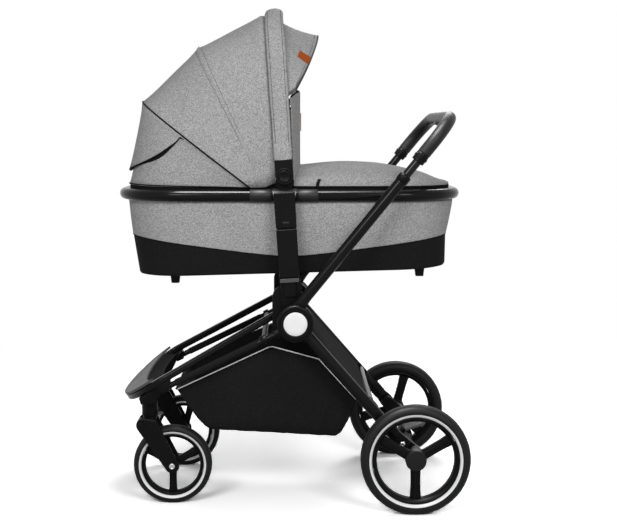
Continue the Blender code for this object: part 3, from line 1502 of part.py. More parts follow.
def cloth_base(count=14):
    """The hood's bottom line, along the lip from joint to joint round the head end."""
    z = LIP_TOP_Z + SEAT + 0.001
    start_x = REAR_SEAM_FOOT.x - SEAM_GAP
    corner = RIM_CORNER - LIP_INSET
    straight = RIM_HALF_LENGTH - LIP_INSET - corner
    half_width = RIM_HALF_WIDTH - LIP_INSET - HOOD_CLOTH * 0.2
    run = start_x + straight
    arc = corner * math.pi / 2
    total = 2 * (run + arc + (half_width - corner))
    points = []
    for i in range(count + 1):
        share = i / count
        sign = -1 if share <= 0.5 else 1
        s = min(share, 1 - share) * total
        if s <= run:
            points.append(Vector((start_x - s, sign * half_width, z)))
        elif s <= run + arc:
            turn = (s - run) / corner
            points.append(Vector((
                -straight - corner * math.sin(turn),
                sign * (half_width - corner + corner * math.cos(turn)), z,
            )))
        else:
            rest = s - run - arc
            points.append(Vector((-straight - corner, sign * (half_width - corner - rest), z)))
    return points


def make_hood_panels():
    """Three stretched panels between the bow, the two ribs and the lip."""
    foot_half = RIM_HALF_WIDTH - LIP_INSET + 0.008
    gap = Vector((SEAM_GAP / 2, 0))
    bow = cloth_hoop(BOW_SEAM_TOP, BOW_SEAM_FOOT, CLOTH_HALF_WIDTH, foot_half)
    front = (FRONT_SEAM_TOP, FRONT_SEAM_FOOT)
    rear = (REAR_SEAM_TOP, REAR_SEAM_FOOT)
    lines = [
        (bow, cloth_hoop(front[0] + gap, front[1] + gap, CLOTH_HALF_WIDTH, foot_half)),
        (cloth_hoop(front[0] - gap, front[1] - gap, CLOTH_HALF_WIDTH, foot_half),
         cloth_hoop(rear[0] + gap, rear[1] + gap, CLOTH_HALF_WIDTH, foot_half)),
        (cloth_hoop(rear[0] - gap, rear[1] - gap, CLOTH_HALF_WIDTH, foot_half), cloth_base()),
    ]
    names = ("hood_panel_front", "hood_panel_middle", "hood_panel_rear")
    sags = (CLOTH_SAG, CLOTH_SAG, CLOTH_SAG / 2)
    steps = 4
    middle = Vector((HOOD_X - 0.05, 0, HOOD_Z))
    panels = []
    for name, (first, second), sag in zip(names, lines, sags):
        rows = []
        # The edges stay back from the seam, where the cloth's thickness needs room
        edge = 0.002 if name == "hood_panel_front" else 0.008
        for j in range(steps + 1):
            share = edge + (1 - 2 * edge) * j / steps
            if name == "hood_panel_rear" and j == steps:
                share = 1.0
            row = []
            for i, (a, b) in enumerate(zip(first, second)):
                point = a.lerp(b, share)
                turn = math.pi * i / (len(first) - 1)
                pull = sag * math.sin(math.pi * share) * max(0.0, math.sin(turn)) ** 0.5
                row.append(point - (point - middle).normalized() * pull)
            rows.append(row)
        panels.append(sheet(name, rows, HOOD_CLOTH, MATERIALS["melange"]))
    return panels


def make_visor():
    """The sun visor in front of the bow, longest in the middle."""
    direction = turned(BOW_ANGLE)
    ahead = Vector((direction.y, -direction.x))
    root = HOOD_AXIS + ahead * (SLEEVE_WIDTH / 2 - 0.0012)
    steps = 4
    count = 16
    rows = [[] for _ in range(steps + 1)]
    for i in range(count + 1):
        side = 2 * i / count - 1
        across = abs(side) * VISOR_HALF_WIDTH / BOW_Y
        rise = (1 - across ** 2.7) ** (1 / 2.7)
        start = root + direction * (BOW_REACH - 0.010) * rise
        edge = Vector((
            VISOR_TIP.x - VISOR_SWEEP * abs(side) ** 2.1,
            VISOR_TIP.y - VISOR_DROP * abs(side) ** 1.5,
        ))
        for j, row in enumerate(rows):
            share = j / steps
            droop = Vector((0, -0.004 * math.sin(math.pi * share) * (1 - abs(side))))
            row.append(at(start.lerp(edge, share) + droop, side * VISOR_HALF_WIDTH))
    return sheet("visor", rows, HOOD_CLOTH, MATERIALS["melange"])


# Assembly

def build_chassis():
    chassis = make_body("chassis")
    carry(chassis, make_front_frame(), make_footrest(), make_basket())
    carry(chassis, make_cross_tube())
    for side, sign in SIDES:
        carry(
            chassis,
            make_rail(side, sign),
            make_hub_bracket(side, sign),
            make_hub_cap(side, sign),
            make_hub_disc(side, sign),
            make_caster_socket(side, sign),
        )
    return chassis


def build_rear(chassis):
    legs = make_body("rear_legs", HUB_X, 0, HUB_Z, chassis)
    carry(legs, make_cross_brace(), *[make_rear_leg(*side) for side in SIDES])
    axle = make_body("rear_axle", LEG_BOLT.x, 0, LEG_BOLT.y, legs)
    carry(axle, make_axle_beam())
    pedal = make_body("brake", REAR_AXLE.x, 0, REAR_AXLE.y, axle)
    carry(pedal, make_brake_pedal())
    hub_span = (LEG_Y + 0.014 + 0.0010, WHEEL_Y + REAR_TYRE_WIDTH / 2 - 0.001)
    for side, sign in SIDES:
        wheel = make_body(f"rear_wheel_{side}", REAR_AXLE.x, sign * WHEEL_Y, REAR_AXLE.y, axle)
        pieces = make_wheel("rear", side, sign, REAR_AXLE, WHEEL_Y, REAR_SIZES,
                            STUB_AXLE_RADIUS + RUN, hub_span, True)
        carry(wheel, *pieces)


def build_casters(chassis):
    hub_half = ARM_INNER - RUN
    for side, sign in SIDES:
        y = sign * CASTER_Y
        lock = make_body(f"swivel_lock_{side}_body", CASTER_X + STEM_RADIUS, y, STEM_BOTTOM_Z, chassis)
        carry(lock, make_swivel_lock(side, sign))
        head = make_body(f"caster_{side}", CASTER_X, y, STEM_BOTTOM_Z, chassis)
        carry(head, make_caster_yoke(side, sign))
        fork = make_body(f"caster_fork_{side}", CASTER_BOLT.x, y, CASTER_BOLT.y, head)
        carry(fork, make_caster_arm(side, sign))
        wheel = make_body(f"front_wheel_{side}", FRONT_AXLE.x, y, FRONT_AXLE.y, fork)
        pieces = make_wheel("front", side, sign, FRONT_AXLE, CASTER_Y, FRONT_SIZES,
                            FRONT_AXLE_RADIUS + 0.0012 + RUN,
                            (CASTER_Y - hub_half, CASTER_Y + hub_half), False)
        carry(wheel, *pieces)


def build_handle(chassis):
    lower = make_body("handle_lower", HUB_X, 0, HUB_Z, chassis)
    carry(lower, *[make_handle_tube(*side) for side in SIDES])
    top = handle_point(HANDLE_TUBE_END)
    upper = make_body("handle_upper", top.x, 0, top.y, lower)
    carry(upper, make_handle_inner(), make_handle_grip())
    bar = handle_point(CROSSBAR_AT)
    button = make_body("handle_button_body", bar.x, 0, bar.y, upper)
    carry(button, make_handle_button())
    for side, sign in SIDES:
        low = handle_point(TRIGGER_START)
        trigger = make_body(f"trigger_{side}", low.x, sign * HANDLE_Y, low.y, upper)
        carry(trigger, make_trigger(side, sign))


def build_cot(chassis):
    cot = make_body("carrycot", POST_FOOT.x, 0, POST_FOOT.y, chassis)
    carry(cot, make_cot_rim(), make_cot_body(), make_cot_base(), make_mattress(), make_apron())
    carry(cot, *make_hood_panels())
    for side, sign in SIDES:
        carry(cot, make_cot_post(side, sign))
        catch = POST_FOOT + POST_UP * 0.132
        button = make_body(f"post_button_{side}_body", catch.x, sign * POST_Y, catch.y, cot)
        carry(button, make_post_button(side, sign))
    flap = make_body("flap", APRON_FRONT_X, 0, LIP_TOP_Z + 0.043, cot)
    carry(flap, make_wind_flap())
    return cot


def build_hood(cot):
    bow = make_body("hood_front", HOOD_X, 0, HOOD_Z, cot)
    carry(bow, make_hood_bow(), make_bow_sleeve())
    ribs = (
        ("hood_rib_front", FRONT_RIB_ANGLE, FRONT_RIB_REACH, 0.1815),
        ("hood_rib_rear", REAR_RIB_ANGLE, REAR_RIB_REACH, 0.1750),
    )
    for name, angle, reach, foot_y in ribs:
        body = make_body(f"{name}_body", HOOD_X, 0, HOOD_Z, cot)
        carry(body, make_hood_rib(name, angle, reach, foot_y))
    for side, sign in SIDES:
        button = make_body(f"hood_button_{side}_body", HOOD_X, sign * BOW_Y, HOOD_Z, bow)
        carry(button, make_hood_button(side, sign))
    peak = HOOD_AXIS + turned(BOW_ANGLE) * 0.21
    visor = make_body("sun_visor", peak.x, 0, peak.y, bow)
    carry(visor, make_visor())


for leftover in list(bpy.data.objects):
    bpy.data.objects.remove(leftover, do_unlink=True)
MATERIALS = make_materials()
CHASSIS = build_chassis()
build_rear(CHASSIS)
build_casters(CHASSIS)
build_handle(CHASSIS)
build_hood(build_cot(CHASSIS))
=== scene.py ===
"""Looks of a pram with a hooded carrycot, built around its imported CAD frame.

Metres, +X towards the push handle, -Y towards the camera, +Z up. The sizes below are the
CAD model's own. A sign is -1 on the near side, the pram's left, and 1 on the far side.
"""

import math

import bmesh
import bpy
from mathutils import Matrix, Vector, noise
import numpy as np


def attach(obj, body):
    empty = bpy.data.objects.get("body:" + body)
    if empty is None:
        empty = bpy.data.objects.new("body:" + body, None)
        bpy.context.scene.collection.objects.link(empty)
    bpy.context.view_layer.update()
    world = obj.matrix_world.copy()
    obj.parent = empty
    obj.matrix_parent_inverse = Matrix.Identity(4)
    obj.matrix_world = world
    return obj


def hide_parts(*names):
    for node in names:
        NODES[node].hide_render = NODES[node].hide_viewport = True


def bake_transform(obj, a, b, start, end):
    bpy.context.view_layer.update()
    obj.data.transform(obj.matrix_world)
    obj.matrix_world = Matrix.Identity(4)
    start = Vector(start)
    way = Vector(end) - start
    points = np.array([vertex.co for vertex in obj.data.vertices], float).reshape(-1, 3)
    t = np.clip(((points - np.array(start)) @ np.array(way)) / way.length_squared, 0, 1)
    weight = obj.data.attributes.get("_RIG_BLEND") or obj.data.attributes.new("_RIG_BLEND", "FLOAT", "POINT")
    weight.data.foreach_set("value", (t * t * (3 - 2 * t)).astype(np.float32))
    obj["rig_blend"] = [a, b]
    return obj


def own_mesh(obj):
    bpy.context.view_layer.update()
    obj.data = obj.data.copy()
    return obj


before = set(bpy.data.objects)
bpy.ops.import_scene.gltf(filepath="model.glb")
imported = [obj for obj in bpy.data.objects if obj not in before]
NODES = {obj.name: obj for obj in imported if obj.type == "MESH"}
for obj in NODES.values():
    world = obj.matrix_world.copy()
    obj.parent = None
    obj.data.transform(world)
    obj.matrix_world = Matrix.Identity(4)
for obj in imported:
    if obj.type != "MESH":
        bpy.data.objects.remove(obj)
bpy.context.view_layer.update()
SIDES = (("left", -1), ("right", 1))
ORIGIN = (0, 0)

# Hubs and frame
HUB = Vector((0.0127, 0.449))
CAP_Y = 0.2639
CAP_THICKNESS = 0.008
CAP_RADIUS = 0.044
DISC_RADIUS = 0.028
FRONT_SLOPE = 29.0
FRONT_OFFSET = 0.0312
FRONT_STRAIGHT = 0.349
FRONT_BOW = 0.108
FRONT_DROOP = 0.016
FRAME_HALF = 0.2195
FRAME_HUB_HALF = 0.170
TUBE_WIDTH = 0.022
TUBE_HEIGHT = 0.0175
RAIL_SLOPE = 25.8
RAIL_OFFSET = -0.0091
RAIL_Y = 0.2165
RAIL_RADIUS = 0.007
LEG_Y = 0.2396
LEG_PANEL_Y = LEG_Y - 0.0108
LEG_RADIUS = 0.014

# Wheels and casters
REAR_AXLE = Vector((0.2957, 0.12918))
FRONT_AXLE = Vector((-0.2848, 0.09419))
LEG_BOLT = Vector((0.2677, 0.15818))
WHEEL_Y = 0.2815
CASTER_Y = 0.175
CASTER_X = -0.3402
CASTER_BOLT = Vector((-0.3594, 0.19349))

# Push handle
HANDLE_ANGLE = 50.7
HANDLE_OFFSET = 0.020
HANDLE_Y = 0.2551
HANDLE_BEND = 0.085
CROSSBAR_AT = 0.6105
TRIGGER_START = 0.4766
GRIP_START = 0.5010
GRIP_RADIUS = 0.0160
HANDLE_CAP_END = 0.4369
HANDLE_KNUCKLE_Y = 0.2471
LEG_KNUCKLE_Y = 0.2328

# Carrycot
RIM_Z = 0.7476
RIM_RADIUS = 0.0140
RIM_HALF_LENGTH = 0.4156
RIM_HALF_WIDTH = 0.1935
RIM_CORNER = 0.160
LIP_INSET = 0.0159
LIP_TOP_Z = 0.7715
LIP_CORNER = RIM_CORNER - LIP_INSET
LIP_STRAIGHT = RIM_HALF_LENGTH - RIM_CORNER
SHOULDER_Z = 0.7300
SHOULDER_INSET = 0.0063
COT_WALL = 0.007
BOTTOM_INSET = 0.031
BASE_SHIFT = 0.0066  # the base's bottom lies this much nearer the foot end
APRON_X = 0.0245
FLAP_TOP_Z = 1.003
FLAP_HALF = 0.185
POST_FOOT = Vector((-0.0011, 0.5525))
POST_ANGLE = 93.5
POST_SEAM = 0.118
POST_SIDES = (0.209, 0.229)
CATCH_AT = 0.132  # the fold catch's place along the post
FLAP_HINGE_Z = (0.795, 0.830)

# Hood
HOOD_AXIS = Vector((-0.0128, 0.794))
BOW_ANGLE = 93.8
BOW_REACH = 0.408
BOW_Y = 0.2073
BLOCK_Y = (0.1978, 0.2168)
BOW_SEAM = (Vector((-0.0600, 1.1985)), Vector((-0.0335, 0.7790)))
FRONT_SEAM = (Vector((-0.2290, 1.1092)), Vector((-0.0600, 0.7675)))
REAR_SEAM = (Vector((-0.3675, 0.9755)), Vector((-0.0960, 0.7665)))
CLOTH_HALF = 0.2045
HOOD_FOOT_HALF = RIM_HALF_WIDTH - LIP_INSET + 0.008
HOOD_SAG = (0.0034, 0.0030, 0.0028)
VISOR_HALF = 0.190


# Points in side view

def turned(angle):
    return Vector((math.cos(math.radians(angle)), math.sin(math.radians(angle))))


def left_of(direction):
    return Vector((-direction.y, direction.x))


def on_line(angle, offset, along):
    return HUB + left_of(turned(angle)) * offset + turned(angle) * along


def front_point(along):
    bend = max(0.0, along - FRONT_STRAIGHT) / FRONT_BOW
    return on_line(FRONT_SLOPE, FRONT_OFFSET, -along) - Vector((0, FRONT_DROOP * bend ** 1.4))


def rail_point(along):
    return on_line(RAIL_SLOPE, RAIL_OFFSET, -along)


def handle_point(along):
    return on_line(HANDLE_ANGLE, HANDLE_OFFSET, along)


def at(point, y):
    return Vector((point[0], y, point[1]))


def vectors(*points):
    return [Vector(p) for p in points]


def mirrored(points):
    return [Vector((p.x, -p.y, p.z)) for p in points[::-1]]


def shares(count):
    return [i / count for i in range(count + 1)]


def bulge(share):
    return math.sin(math.pi * share)


def signed_power(value, power):
    return math.copysign(abs(value) ** power, value)


def clamped(value):
    return max(0.0, min(1.0, value))


def smooth_curve(points, samples):
    """Points on a smooth curve through the given ones, each span cut in equal steps."""
    curve = []
    padded = [points[0] * 2 - points[1], *points, points[-1] * 2 - points[-2]]
    for i in range(1, len(padded) - 2):
        a, b, c, d = padded[i - 1 : i + 3]
        for step in range(samples):
            t = step / samples
            curve.append(0.5 * (
                2 * b + (c - a) * t + (2 * a - 5 * b + 4 * c - d) * t * t
                + (3 * b - a - 3 * c + d) * t ** 3
            ))
    curve.append(points[-1])
    return curve


def circle(centre, radius, count=32):
    angles = [2 * math.pi * i / count for i in range(count)]
    return [Vector((centre[0] + radius * math.cos(a), centre[1] + radius * math.sin(a)))
            for a in angles]


def oval(width, height, count=28, power=2.6):
    return [Vector((signed_power(p.x, 2 / power) * width / 2, signed_power(p.y, 2 / power) * height / 2))
            for p in circle(ORIGIN, 1, count)]


def hull(points):
    """Convex outline of side-view points, anticlockwise."""
    points = sorted({(round(p[0], 7), round(p[1], 7)) for p in points})

    def half(sequence):
        chain = []
        for p in sequence:
            while len(chain) > 1 and (
                (chain[-1][0] - chain[-2][0]) * (p[1] - chain[-2][1])
                - (chain[-1][1] - chain[-2][1]) * (p[0] - chain[-2][0])
            ) <= 0:
                chain.pop()
            chain.append(p)
        return chain[:-1]

    return vectors(*half(points), *half(points[::-1]))


def around(circles, count=32):
    return hull([p for centre, radius in circles for p in circle(centre, radius, count)])


def poly_point(points, share):
    """A point at this share of a chain's length."""
    lengths = [(b - a).length for a, b in zip(points, points[1:])]
    walk = share * sum(lengths)
    for a, b, length in zip(points, points[1:], lengths):
        if walk <= length or b is points[-1]:
            return a.lerp(b, min(1.0, walk / length))
        walk -= length


def soft(point, scale, size, seed=0.0):
    """A slow, repeatable unevenness for cloth."""
    return size * noise.noise(Vector(point) * scale + Vector((seed, seed, seed)))


# Materials

def add_node(tree, kind, inputs=(), **settings):
    """Adds a node; its inputs are plain values or other nodes' outputs."""
    made = tree.nodes.new(kind)
    for key, value in settings.items():
        setattr(made, key, value)
    for key, value in dict(inputs).items():
        if hasattr(value, "is_output"):
            tree.links.new(value, made.inputs[key])
        else:
            made.inputs[key].default_value = value
    return made


class Nodes:
    """A small wrapper to write one material's node tree."""

    def __init__(self, name):
        self.material = bpy.data.materials.new(name)
        self.material.use_nodes = True
        self.tree = self.material.node_tree
        self.shader = self.tree.nodes["Principled BSDF"]
        self.place = self.node("ShaderNodeTexCoord").outputs["Object"]

    def node(self, kind, inputs=(), **settings):
        return add_node(self.tree, kind, inputs, **settings)

    def noise(self, scale, detail=2.0, stretch=None):
        source = self.place
        if stretch:
            source = self.node("ShaderNodeMapping", {"Vector": source, "Scale": stretch}).outputs[0]
        return self.node("ShaderNodeTexNoise", {
            "Vector": source, "Scale": scale, "Detail": detail, "Roughness": 0.5,
        }).outputs["Fac"]

    def cells(self, scale):
        voronoi = self.node("ShaderNodeTexVoronoi", {"Vector": self.place, "Scale": scale})
        return voronoi.outputs["Distance"]

    def math(self, operation, a, b):
        return self.node("ShaderNodeMath", {0: a, 1: b}, operation=operation).outputs[0]

    def ramp(self, value, low, high, first, last):
        """Maps low..high of a value to first..last, clamped."""
        return self.node("ShaderNodeMapRange", {
            "Value": value, "From Min": low, "From Max": high, "To Min": first, "To Max": last,
        }).outputs[0]

    def finish(self, tone, dark, light, height, depth, **values):
        """Sets the colour, a bump of this depth and other values of the surface."""
        mix = self.node("ShaderNodeMix", {0: tone, 6: (*dark, 1), 7: (*light, 1)}, data_type="RGBA")
        bump = self.node("ShaderNodeBump", {"Height": height, "Distance": depth, "Strength": 1.0})
        for key, value in {"Base_Color": mix.outputs[2], "Normal": bump.outputs[0], **values}.items():
            socket = self.shader.inputs[key.replace("_", " ")]
            if hasattr(value, "is_output"):
                self.tree.links.new(value, socket)
            else:
                socket.default_value = value
        return self.material


def grey(value):
    return (value, value, value)


def woven(name, dark, light, grain=620, depth=0.00025, sheen=0.0):
    """Woven cloth of two yarns, with threads both ways and a slow variation."""
    n = Nodes(name)
    warp = n.noise(grain, 2, (1.0, 1.0, 0.42))
    weft = n.noise(grain, 2, (0.42, 0.42, 1.0))
    both = n.math("MULTIPLY", n.math("ADD", warp, weft), 0.5)
    tone = n.math("ADD", n.ramp(both, 0.4, 0.6, 0, 0.9), n.ramp(n.noise(9), 0.3, 0.7, 0.0, 0.1))
    return n.finish(tone, dark, light, both, depth, Roughness=0.92, Sheen_Weight=sheen,
                    Sheen_Roughness=0.5, Specular_IOR_Level=0.06)


def moulded(name, colour, roughness=0.42, grain=1800, depth=0.00004, level=0.35, wear=1.25):
    """Moulded plastic with a fine grain and a slight change of tone."""
    n = Nodes(name)
    slow = n.noise(22, 3)
    return n.finish(slow, colour, tuple(min(1, c * wear) for c in colour), n.noise(grain), depth,
                    Roughness=n.ramp(slow, 0.3, 0.7, roughness - 0.05, roughness + 0.06),
                    Specular_IOR_Level=level)


def painted(name, colour, roughness, level):
    """Powder coated tube: satin, with a barely seen orange peel."""
    n = Nodes(name)
    slow = n.noise(30)
    return n.finish(slow, colour, tuple(c * 1.3 for c in colour), n.noise(900), 0.00002,
                    Roughness=n.ramp(slow, 0.3, 0.7, roughness - 0.03, roughness + 0.04),
                    Specular_IOR_Level=level, Coat_Roughness=0.2)


def leather(name, dark, light, cells, tones, depth, roughness, level):
    n = Nodes(name)
    return n.finish(n.noise(tones, 3), dark, light, n.cells(cells), depth, Roughness=roughness,
                    Specular_IOR_Level=level)


def brushed_steel():
    n = Nodes("brushed steel")
    brushed = n.noise(400, 2, (1, 8, 1))
    return n.finish(brushed, (0.50, 0.50, 0.52), (0.68, 0.68, 0.70), brushed, 0.00002, Metallic=1.0,
                    Roughness=0.25)


M = {
    "melange": woven("melange cloth", grey(0.185), grey(0.475), grain=700),
    "melange_dark": woven("melange shade", grey(0.05), grey(0.13)),
    "black_cloth": woven("black cloth", grey(0.006), grey(0.014), grain=800, depth=0.0002),
    "lining": woven("lining", (0.50, 0.49, 0.47), (0.66, 0.65, 0.62), grain=500, sheen=0.15),
    # The mesh between the rear legs: black cloth, darkened further as painted shade
    "panel": woven("black mesh cloth in painted shade", grey(0.0012), grey(0.0030)),
    "tape": woven("black tape", grey(0.005), grey(0.012), grain=1400),
    "frame": painted("satin black tube", grey(0.004), roughness=0.18, level=0.10),
    "inner": painted("inner tube", grey(0.005), roughness=0.20, level=0.18),
    "plastic": moulded("black plastic", (0.0036, 0.0036, 0.0037), roughness=0.36, level=0.07),
    "plastic_soft": moulded("dark grey plastic", grey(0.008), roughness=0.42, level=0.13),
    "grey_plastic": moulded("grey plastic", (0.062, 0.062, 0.063), roughness=0.5, level=0.2, wear=1.12),
    "clamp": moulded("clamp plastic", grey(0.009), roughness=0.45, level=0.20),
    "tyre": moulded("tyre rubber", grey(0.0075), roughness=0.48, grain=900, depth=0.00006, level=0.14),
    "reflector": moulded("pale ring", grey(0.78), roughness=0.35, grain=600, depth=0.00002, wear=1.05),
    "steel": brushed_steel(),
    "leather": leather("black leatherette", grey(0.006), (0.011, 0.0105, 0.0105), cells=620, tones=60,
                       depth=0.00018, roughness=0.44, level=0.20),
    "tag": leather("rust leather", (0.30, 0.064, 0.010), (0.37, 0.084, 0.014), cells=900, tones=160,
                   depth=0.00012, roughness=0.7, level=0.03),
    "piping": moulded("light piping", grey(0.72), roughness=0.6, grain=1200),
}


# Mesh building

def add_bevel(obj, width, segments, angle, **settings):
    modifier = obj.modifiers.new("round", "BEVEL")
    modifier.width = width
    modifier.segments = segments
    modifier.limit_method = "ANGLE"
    modifier.angle_limit = math.radians(angle)
    for key, value in settings.items():
        setattr(modifier, key, value)


class Shape:
    """Collects surfaces that become one object."""

    def __init__(self):
        self.verts = []
        self.faces = []

    def rings(self, rings, closed=False, caps=True, open_ring=False):
        """Skins equal rings of points. closed joins the last ring to the first."""
        n = len(rings[0])
        start = len(self.verts)
        self.verts += [Vector(p) for ring in rings for p in ring]
        for j in range(len(rings) if closed else len(rings) - 1):
            a, b = start + j * n, start + (j + 1) % len(rings) * n
            for i in range(n - 1 if open_ring else n):
                k = (i + 1) % n
                self.faces.append((a + i, a + k, b + k, b + i))
        if caps and not closed:
            self.faces.append(tuple(range(start, start + n))[::-1])
            self.faces.append(tuple(range(len(self.verts) - n, len(self.verts))))
        return self

    def sheet(self, rows):
        return self.rings(rows, caps=False, open_ring=True)

    def sweep(self, path, section, up=(0, 0, 1), closed=False, scales=None):
        """Carries a section, in (side, up) coordinates, along a path."""
        rings = []
        count = len(path)
        for i, point in enumerate(path):
            if closed:
                tangent = path[(i + 1) % count] - path[i - 1]
            else:
                tangent = path[min(i + 1, count - 1)] - path[max(i - 1, 0)]
            tangent.normalize()
            side = tangent.cross(Vector(up)).normalized()
            top = side.cross(tangent)
            scale = scales[i] if scales else 1.0
            rings.append([point + side * (s[0] * scale) + top * (s[1] * scale) for s in section])
        return self.rings(rings, closed=closed)

    def rod(self, start, end, radius, count=28, chamfer=0.0):
        """A round bar between two points in space, with its ends chamfered."""
        start, end = Vector(start), Vector(end)
        axis = (end - start).normalized()
        side = axis.cross(Vector((0, 0, 1) if abs(axis.z) < 0.9 else (1, 0, 0))).normalized()
        top = side.cross(axis)
        stops = [(start, radius), (end, radius)]
        if chamfer:
            inset = axis * chamfer
            stops = [(start, radius - chamfer), (start + inset, radius), (end - inset, radius),
                     (end, radius - chamfer)]
        return self.rings([[centre + side * p.x + top * p.y for p in circle(ORIGIN, r, count)]
                           for centre, r in stops])

    def bar(self, point, low, high, radius, count=28, chamfer=0.0):
        """A round bar along Y."""
        return self.rod(at(point, low), at(point, high), radius, count, chamfer)

    def lathe(self, profile, centre, sign=1, count=72, base=0.0):
        """Turns a profile of (radius, y) round an axis along Y."""
        return self.rings([[at(centre + p * r, base + sign * y) for r, y in profile]
                           for p in circle(ORIGIN, 1, count)], closed=True)

    def collar(self, profile, line, up, y, count=36, closed=False):
        """Turns a profile of (distance, radius) round a slanting line in side view."""
        unit = circle(ORIGIN, 1, count)
        return self.rings([[at(line(s) + up * (r * p.x), y + r * p.y) for p in unit]
                           for s, r in profile], closed=closed)

    def prism(self, outline, low, high):
        return self.rings([[at(p, y) for p in outline] for y in sorted((low, high))])

    def object(self, name, material, bevel=0.0, sharp=38.0, level=0, segments=2, thickness=0.0):
        mesh = bpy.data.meshes.new(name)
        mesh.from_pydata(self.verts, [], self.faces)
        work = bmesh.new()
        work.from_mesh(mesh)
        bmesh.ops.remove_doubles(work, verts=work.verts, dist=1e-6)
        if not thickness:
            bmesh.ops.recalc_face_normals(work, faces=work.faces)
        for face in work.faces:
            face.smooth = True
        for edge in work.edges:
            if len(edge.link_faces) == 2 and edge.calc_face_angle() > math.radians(sharp):
                edge.smooth = False
        work.to_mesh(mesh)
        work.free()
        mesh.materials.append(material)
        obj = bpy.data.objects.new(name, mesh)
        bpy.context.scene.collection.objects.link(obj)
        if thickness:
            solid = obj.modifiers.new("cloth", "SOLIDIFY")
            solid.thickness = thickness
            solid.offset = 0
        if bevel:
            add_bevel(obj, bevel, segments, 40, harden_normals=True)
        if level:
            fine = obj.modifiers.new("fine", "SUBSURF")
            fine.levels = fine.render_levels = level
        return obj

    def piece(self, name, material, body, *nodes, slot=None, **finish):
        """Puts the shape on its body as a piece, in place of the CAD nodes it stands for."""
        obj = self.object(name, M[material], **finish)
        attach(obj, body)
        if nodes:
            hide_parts(*nodes)
        return obj

    def bent(self, name, material, **finish):
        """An object whose modifiers are turned into mesh, so that its mesh can bend."""
        obj = self.object(name, M[material], **finish)
        bpy.context.view_layer.update()
        seen = obj.evaluated_get(bpy.context.evaluated_depsgraph_get())
        mesh = bpy.data.meshes.new_from_object(seen)
        obj.modifiers.clear()
        obj.data = mesh
        return obj


def blend_by(obj, first, second, start, end, weigh):
    """Bends an object between two bodies. weigh gives a point's share of the second one."""
    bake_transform(obj, first, second, start=start, end=end)
    layer = obj.data.attributes["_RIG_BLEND"]
    for vertex, cell in zip(obj.data.vertices, layer.data):
        cell.value = weigh(vertex.co)
    return obj


# Frame tubes

def grooved_oval(width, height):
    """The front tube's section: a soft oval with a fine groove along each side."""
    return [Vector((p.x - math.copysign(0.0009 * math.exp(-((p.y / 0.0012) ** 2)), p.x), p.y))
            for p in oval(width, height, 44, 3.0)]


def front_path():
    run = FRONT_STRAIGHT - 0.030
    left = []
    for share, width in ((0.0, 0.0), (0.25, 0.25), (0.5, 0.5), (0.8, 0.82), (0.93, 0.955)):
        y = -FRAME_HUB_HALF - (FRAME_HALF - FRAME_HUB_HALF) * width
        left.append(at(front_point(0.030 + run * share), y))
    bow = []
    for share in shares(36):
        angle = math.pi * share
        along = FRONT_STRAIGHT + FRONT_BOW * math.sin(angle)
        bow.append(at(front_point(along), -FRAME_HALF * math.cos(angle)))
    return left + bow + mirrored(left)


def make_front_frame():
    tube = Shape().sweep(smooth_curve(front_path(), 2), grooved_oval(TUBE_WIDTH, TUBE_HEIGHT),
                         at(left_of(turned(FRONT_SLOPE)), 0))
    tube.piece("front_tube", "frame", "chassis", "front_frame")


def make_footrest():
    """A moulded plate with a bead round its front and a scooped rear wall."""
    outer = FRAME_HALF + TUBE_WIDTH / 2
    bow = FRONT_BOW + TUBE_WIDTH / 2
    tip = FRONT_STRAIGHT + bow
    back = tip - 0.104
    limit = math.asin((back - FRONT_STRAIGHT) / bow)
    front = []
    for share in shares(56):
        angle = limit + (math.pi - 2 * limit) * share
        front.append((FRONT_STRAIGHT + bow * math.sin(angle), -outer * math.cos(angle)))
    reach = front[-1][1]
    across = [reach - 2 * reach * i / 40 for i in range(1, 40)]
    rear = [(back + 0.034 * (1 - (y / reach) ** 2) ** 0.6, y) for y in across]
    up = at(left_of(turned(FRONT_SLOPE)), 0)
    middle = (back + tip) / 2
    lift = TUBE_HEIGHT / 2 + 0.0013

    def ring(points, height, inset):
        return [at(front_point(middle + (a - middle) * (1 - inset / 0.1)), y * (1 - inset / 0.23))
                + up * (lift + height) for a, y in points]

    plate = Shape().rings([ring(front + rear, height, inset) for height, inset in (
        (0, 0.0), (0.0042, 0.0), (0.0056, 0.0006), (0.006, 0.0018), (0.0056, 0.0045),
        (0.0044, 0.006), (0.0042, 0.012),
    )])
    plate.piece("footrest_plate", "grey_plastic", "chassis", "footrest", sharp=50)
    # The wall that hangs from the plate's rear edge, between the tubes
    wall = Shape().sheet([
        ring([(a + 0.002 + behind, y * 0.86) for a, y in rear], -drop, 0.0)
        for behind, drop in ((0.002, 0.0008), (-0.002, 0.0060), (-0.008, 0.0120), (-0.018, 0.0165),
                             (-0.030, 0.0180), (-0.036, 0.0150))
    ])
    wall.piece("footrest_wall", "tape", "chassis", slot="plastic", thickness=0.002)


def make_rails():
    for side, sign in SIDES:
        for name, material, nodes, start, end, *finish in (
            ("rail", "frame", [f"basket_rail_{side}"], 0.036, 0.351, RAIL_RADIUS),
            ("basket_channel", "black_cloth", [], 0.104, 0.322, RAIL_RADIUS + 0.0014, 20, 0.0008),
        ):
            rod = Shape().rod(at(rail_point(start), sign * RAIL_Y), at(rail_point(end), sign * RAIL_Y),
                              *finish)
            rod.piece(f"{name}_{side}", material, "chassis", *nodes)


# Hubs

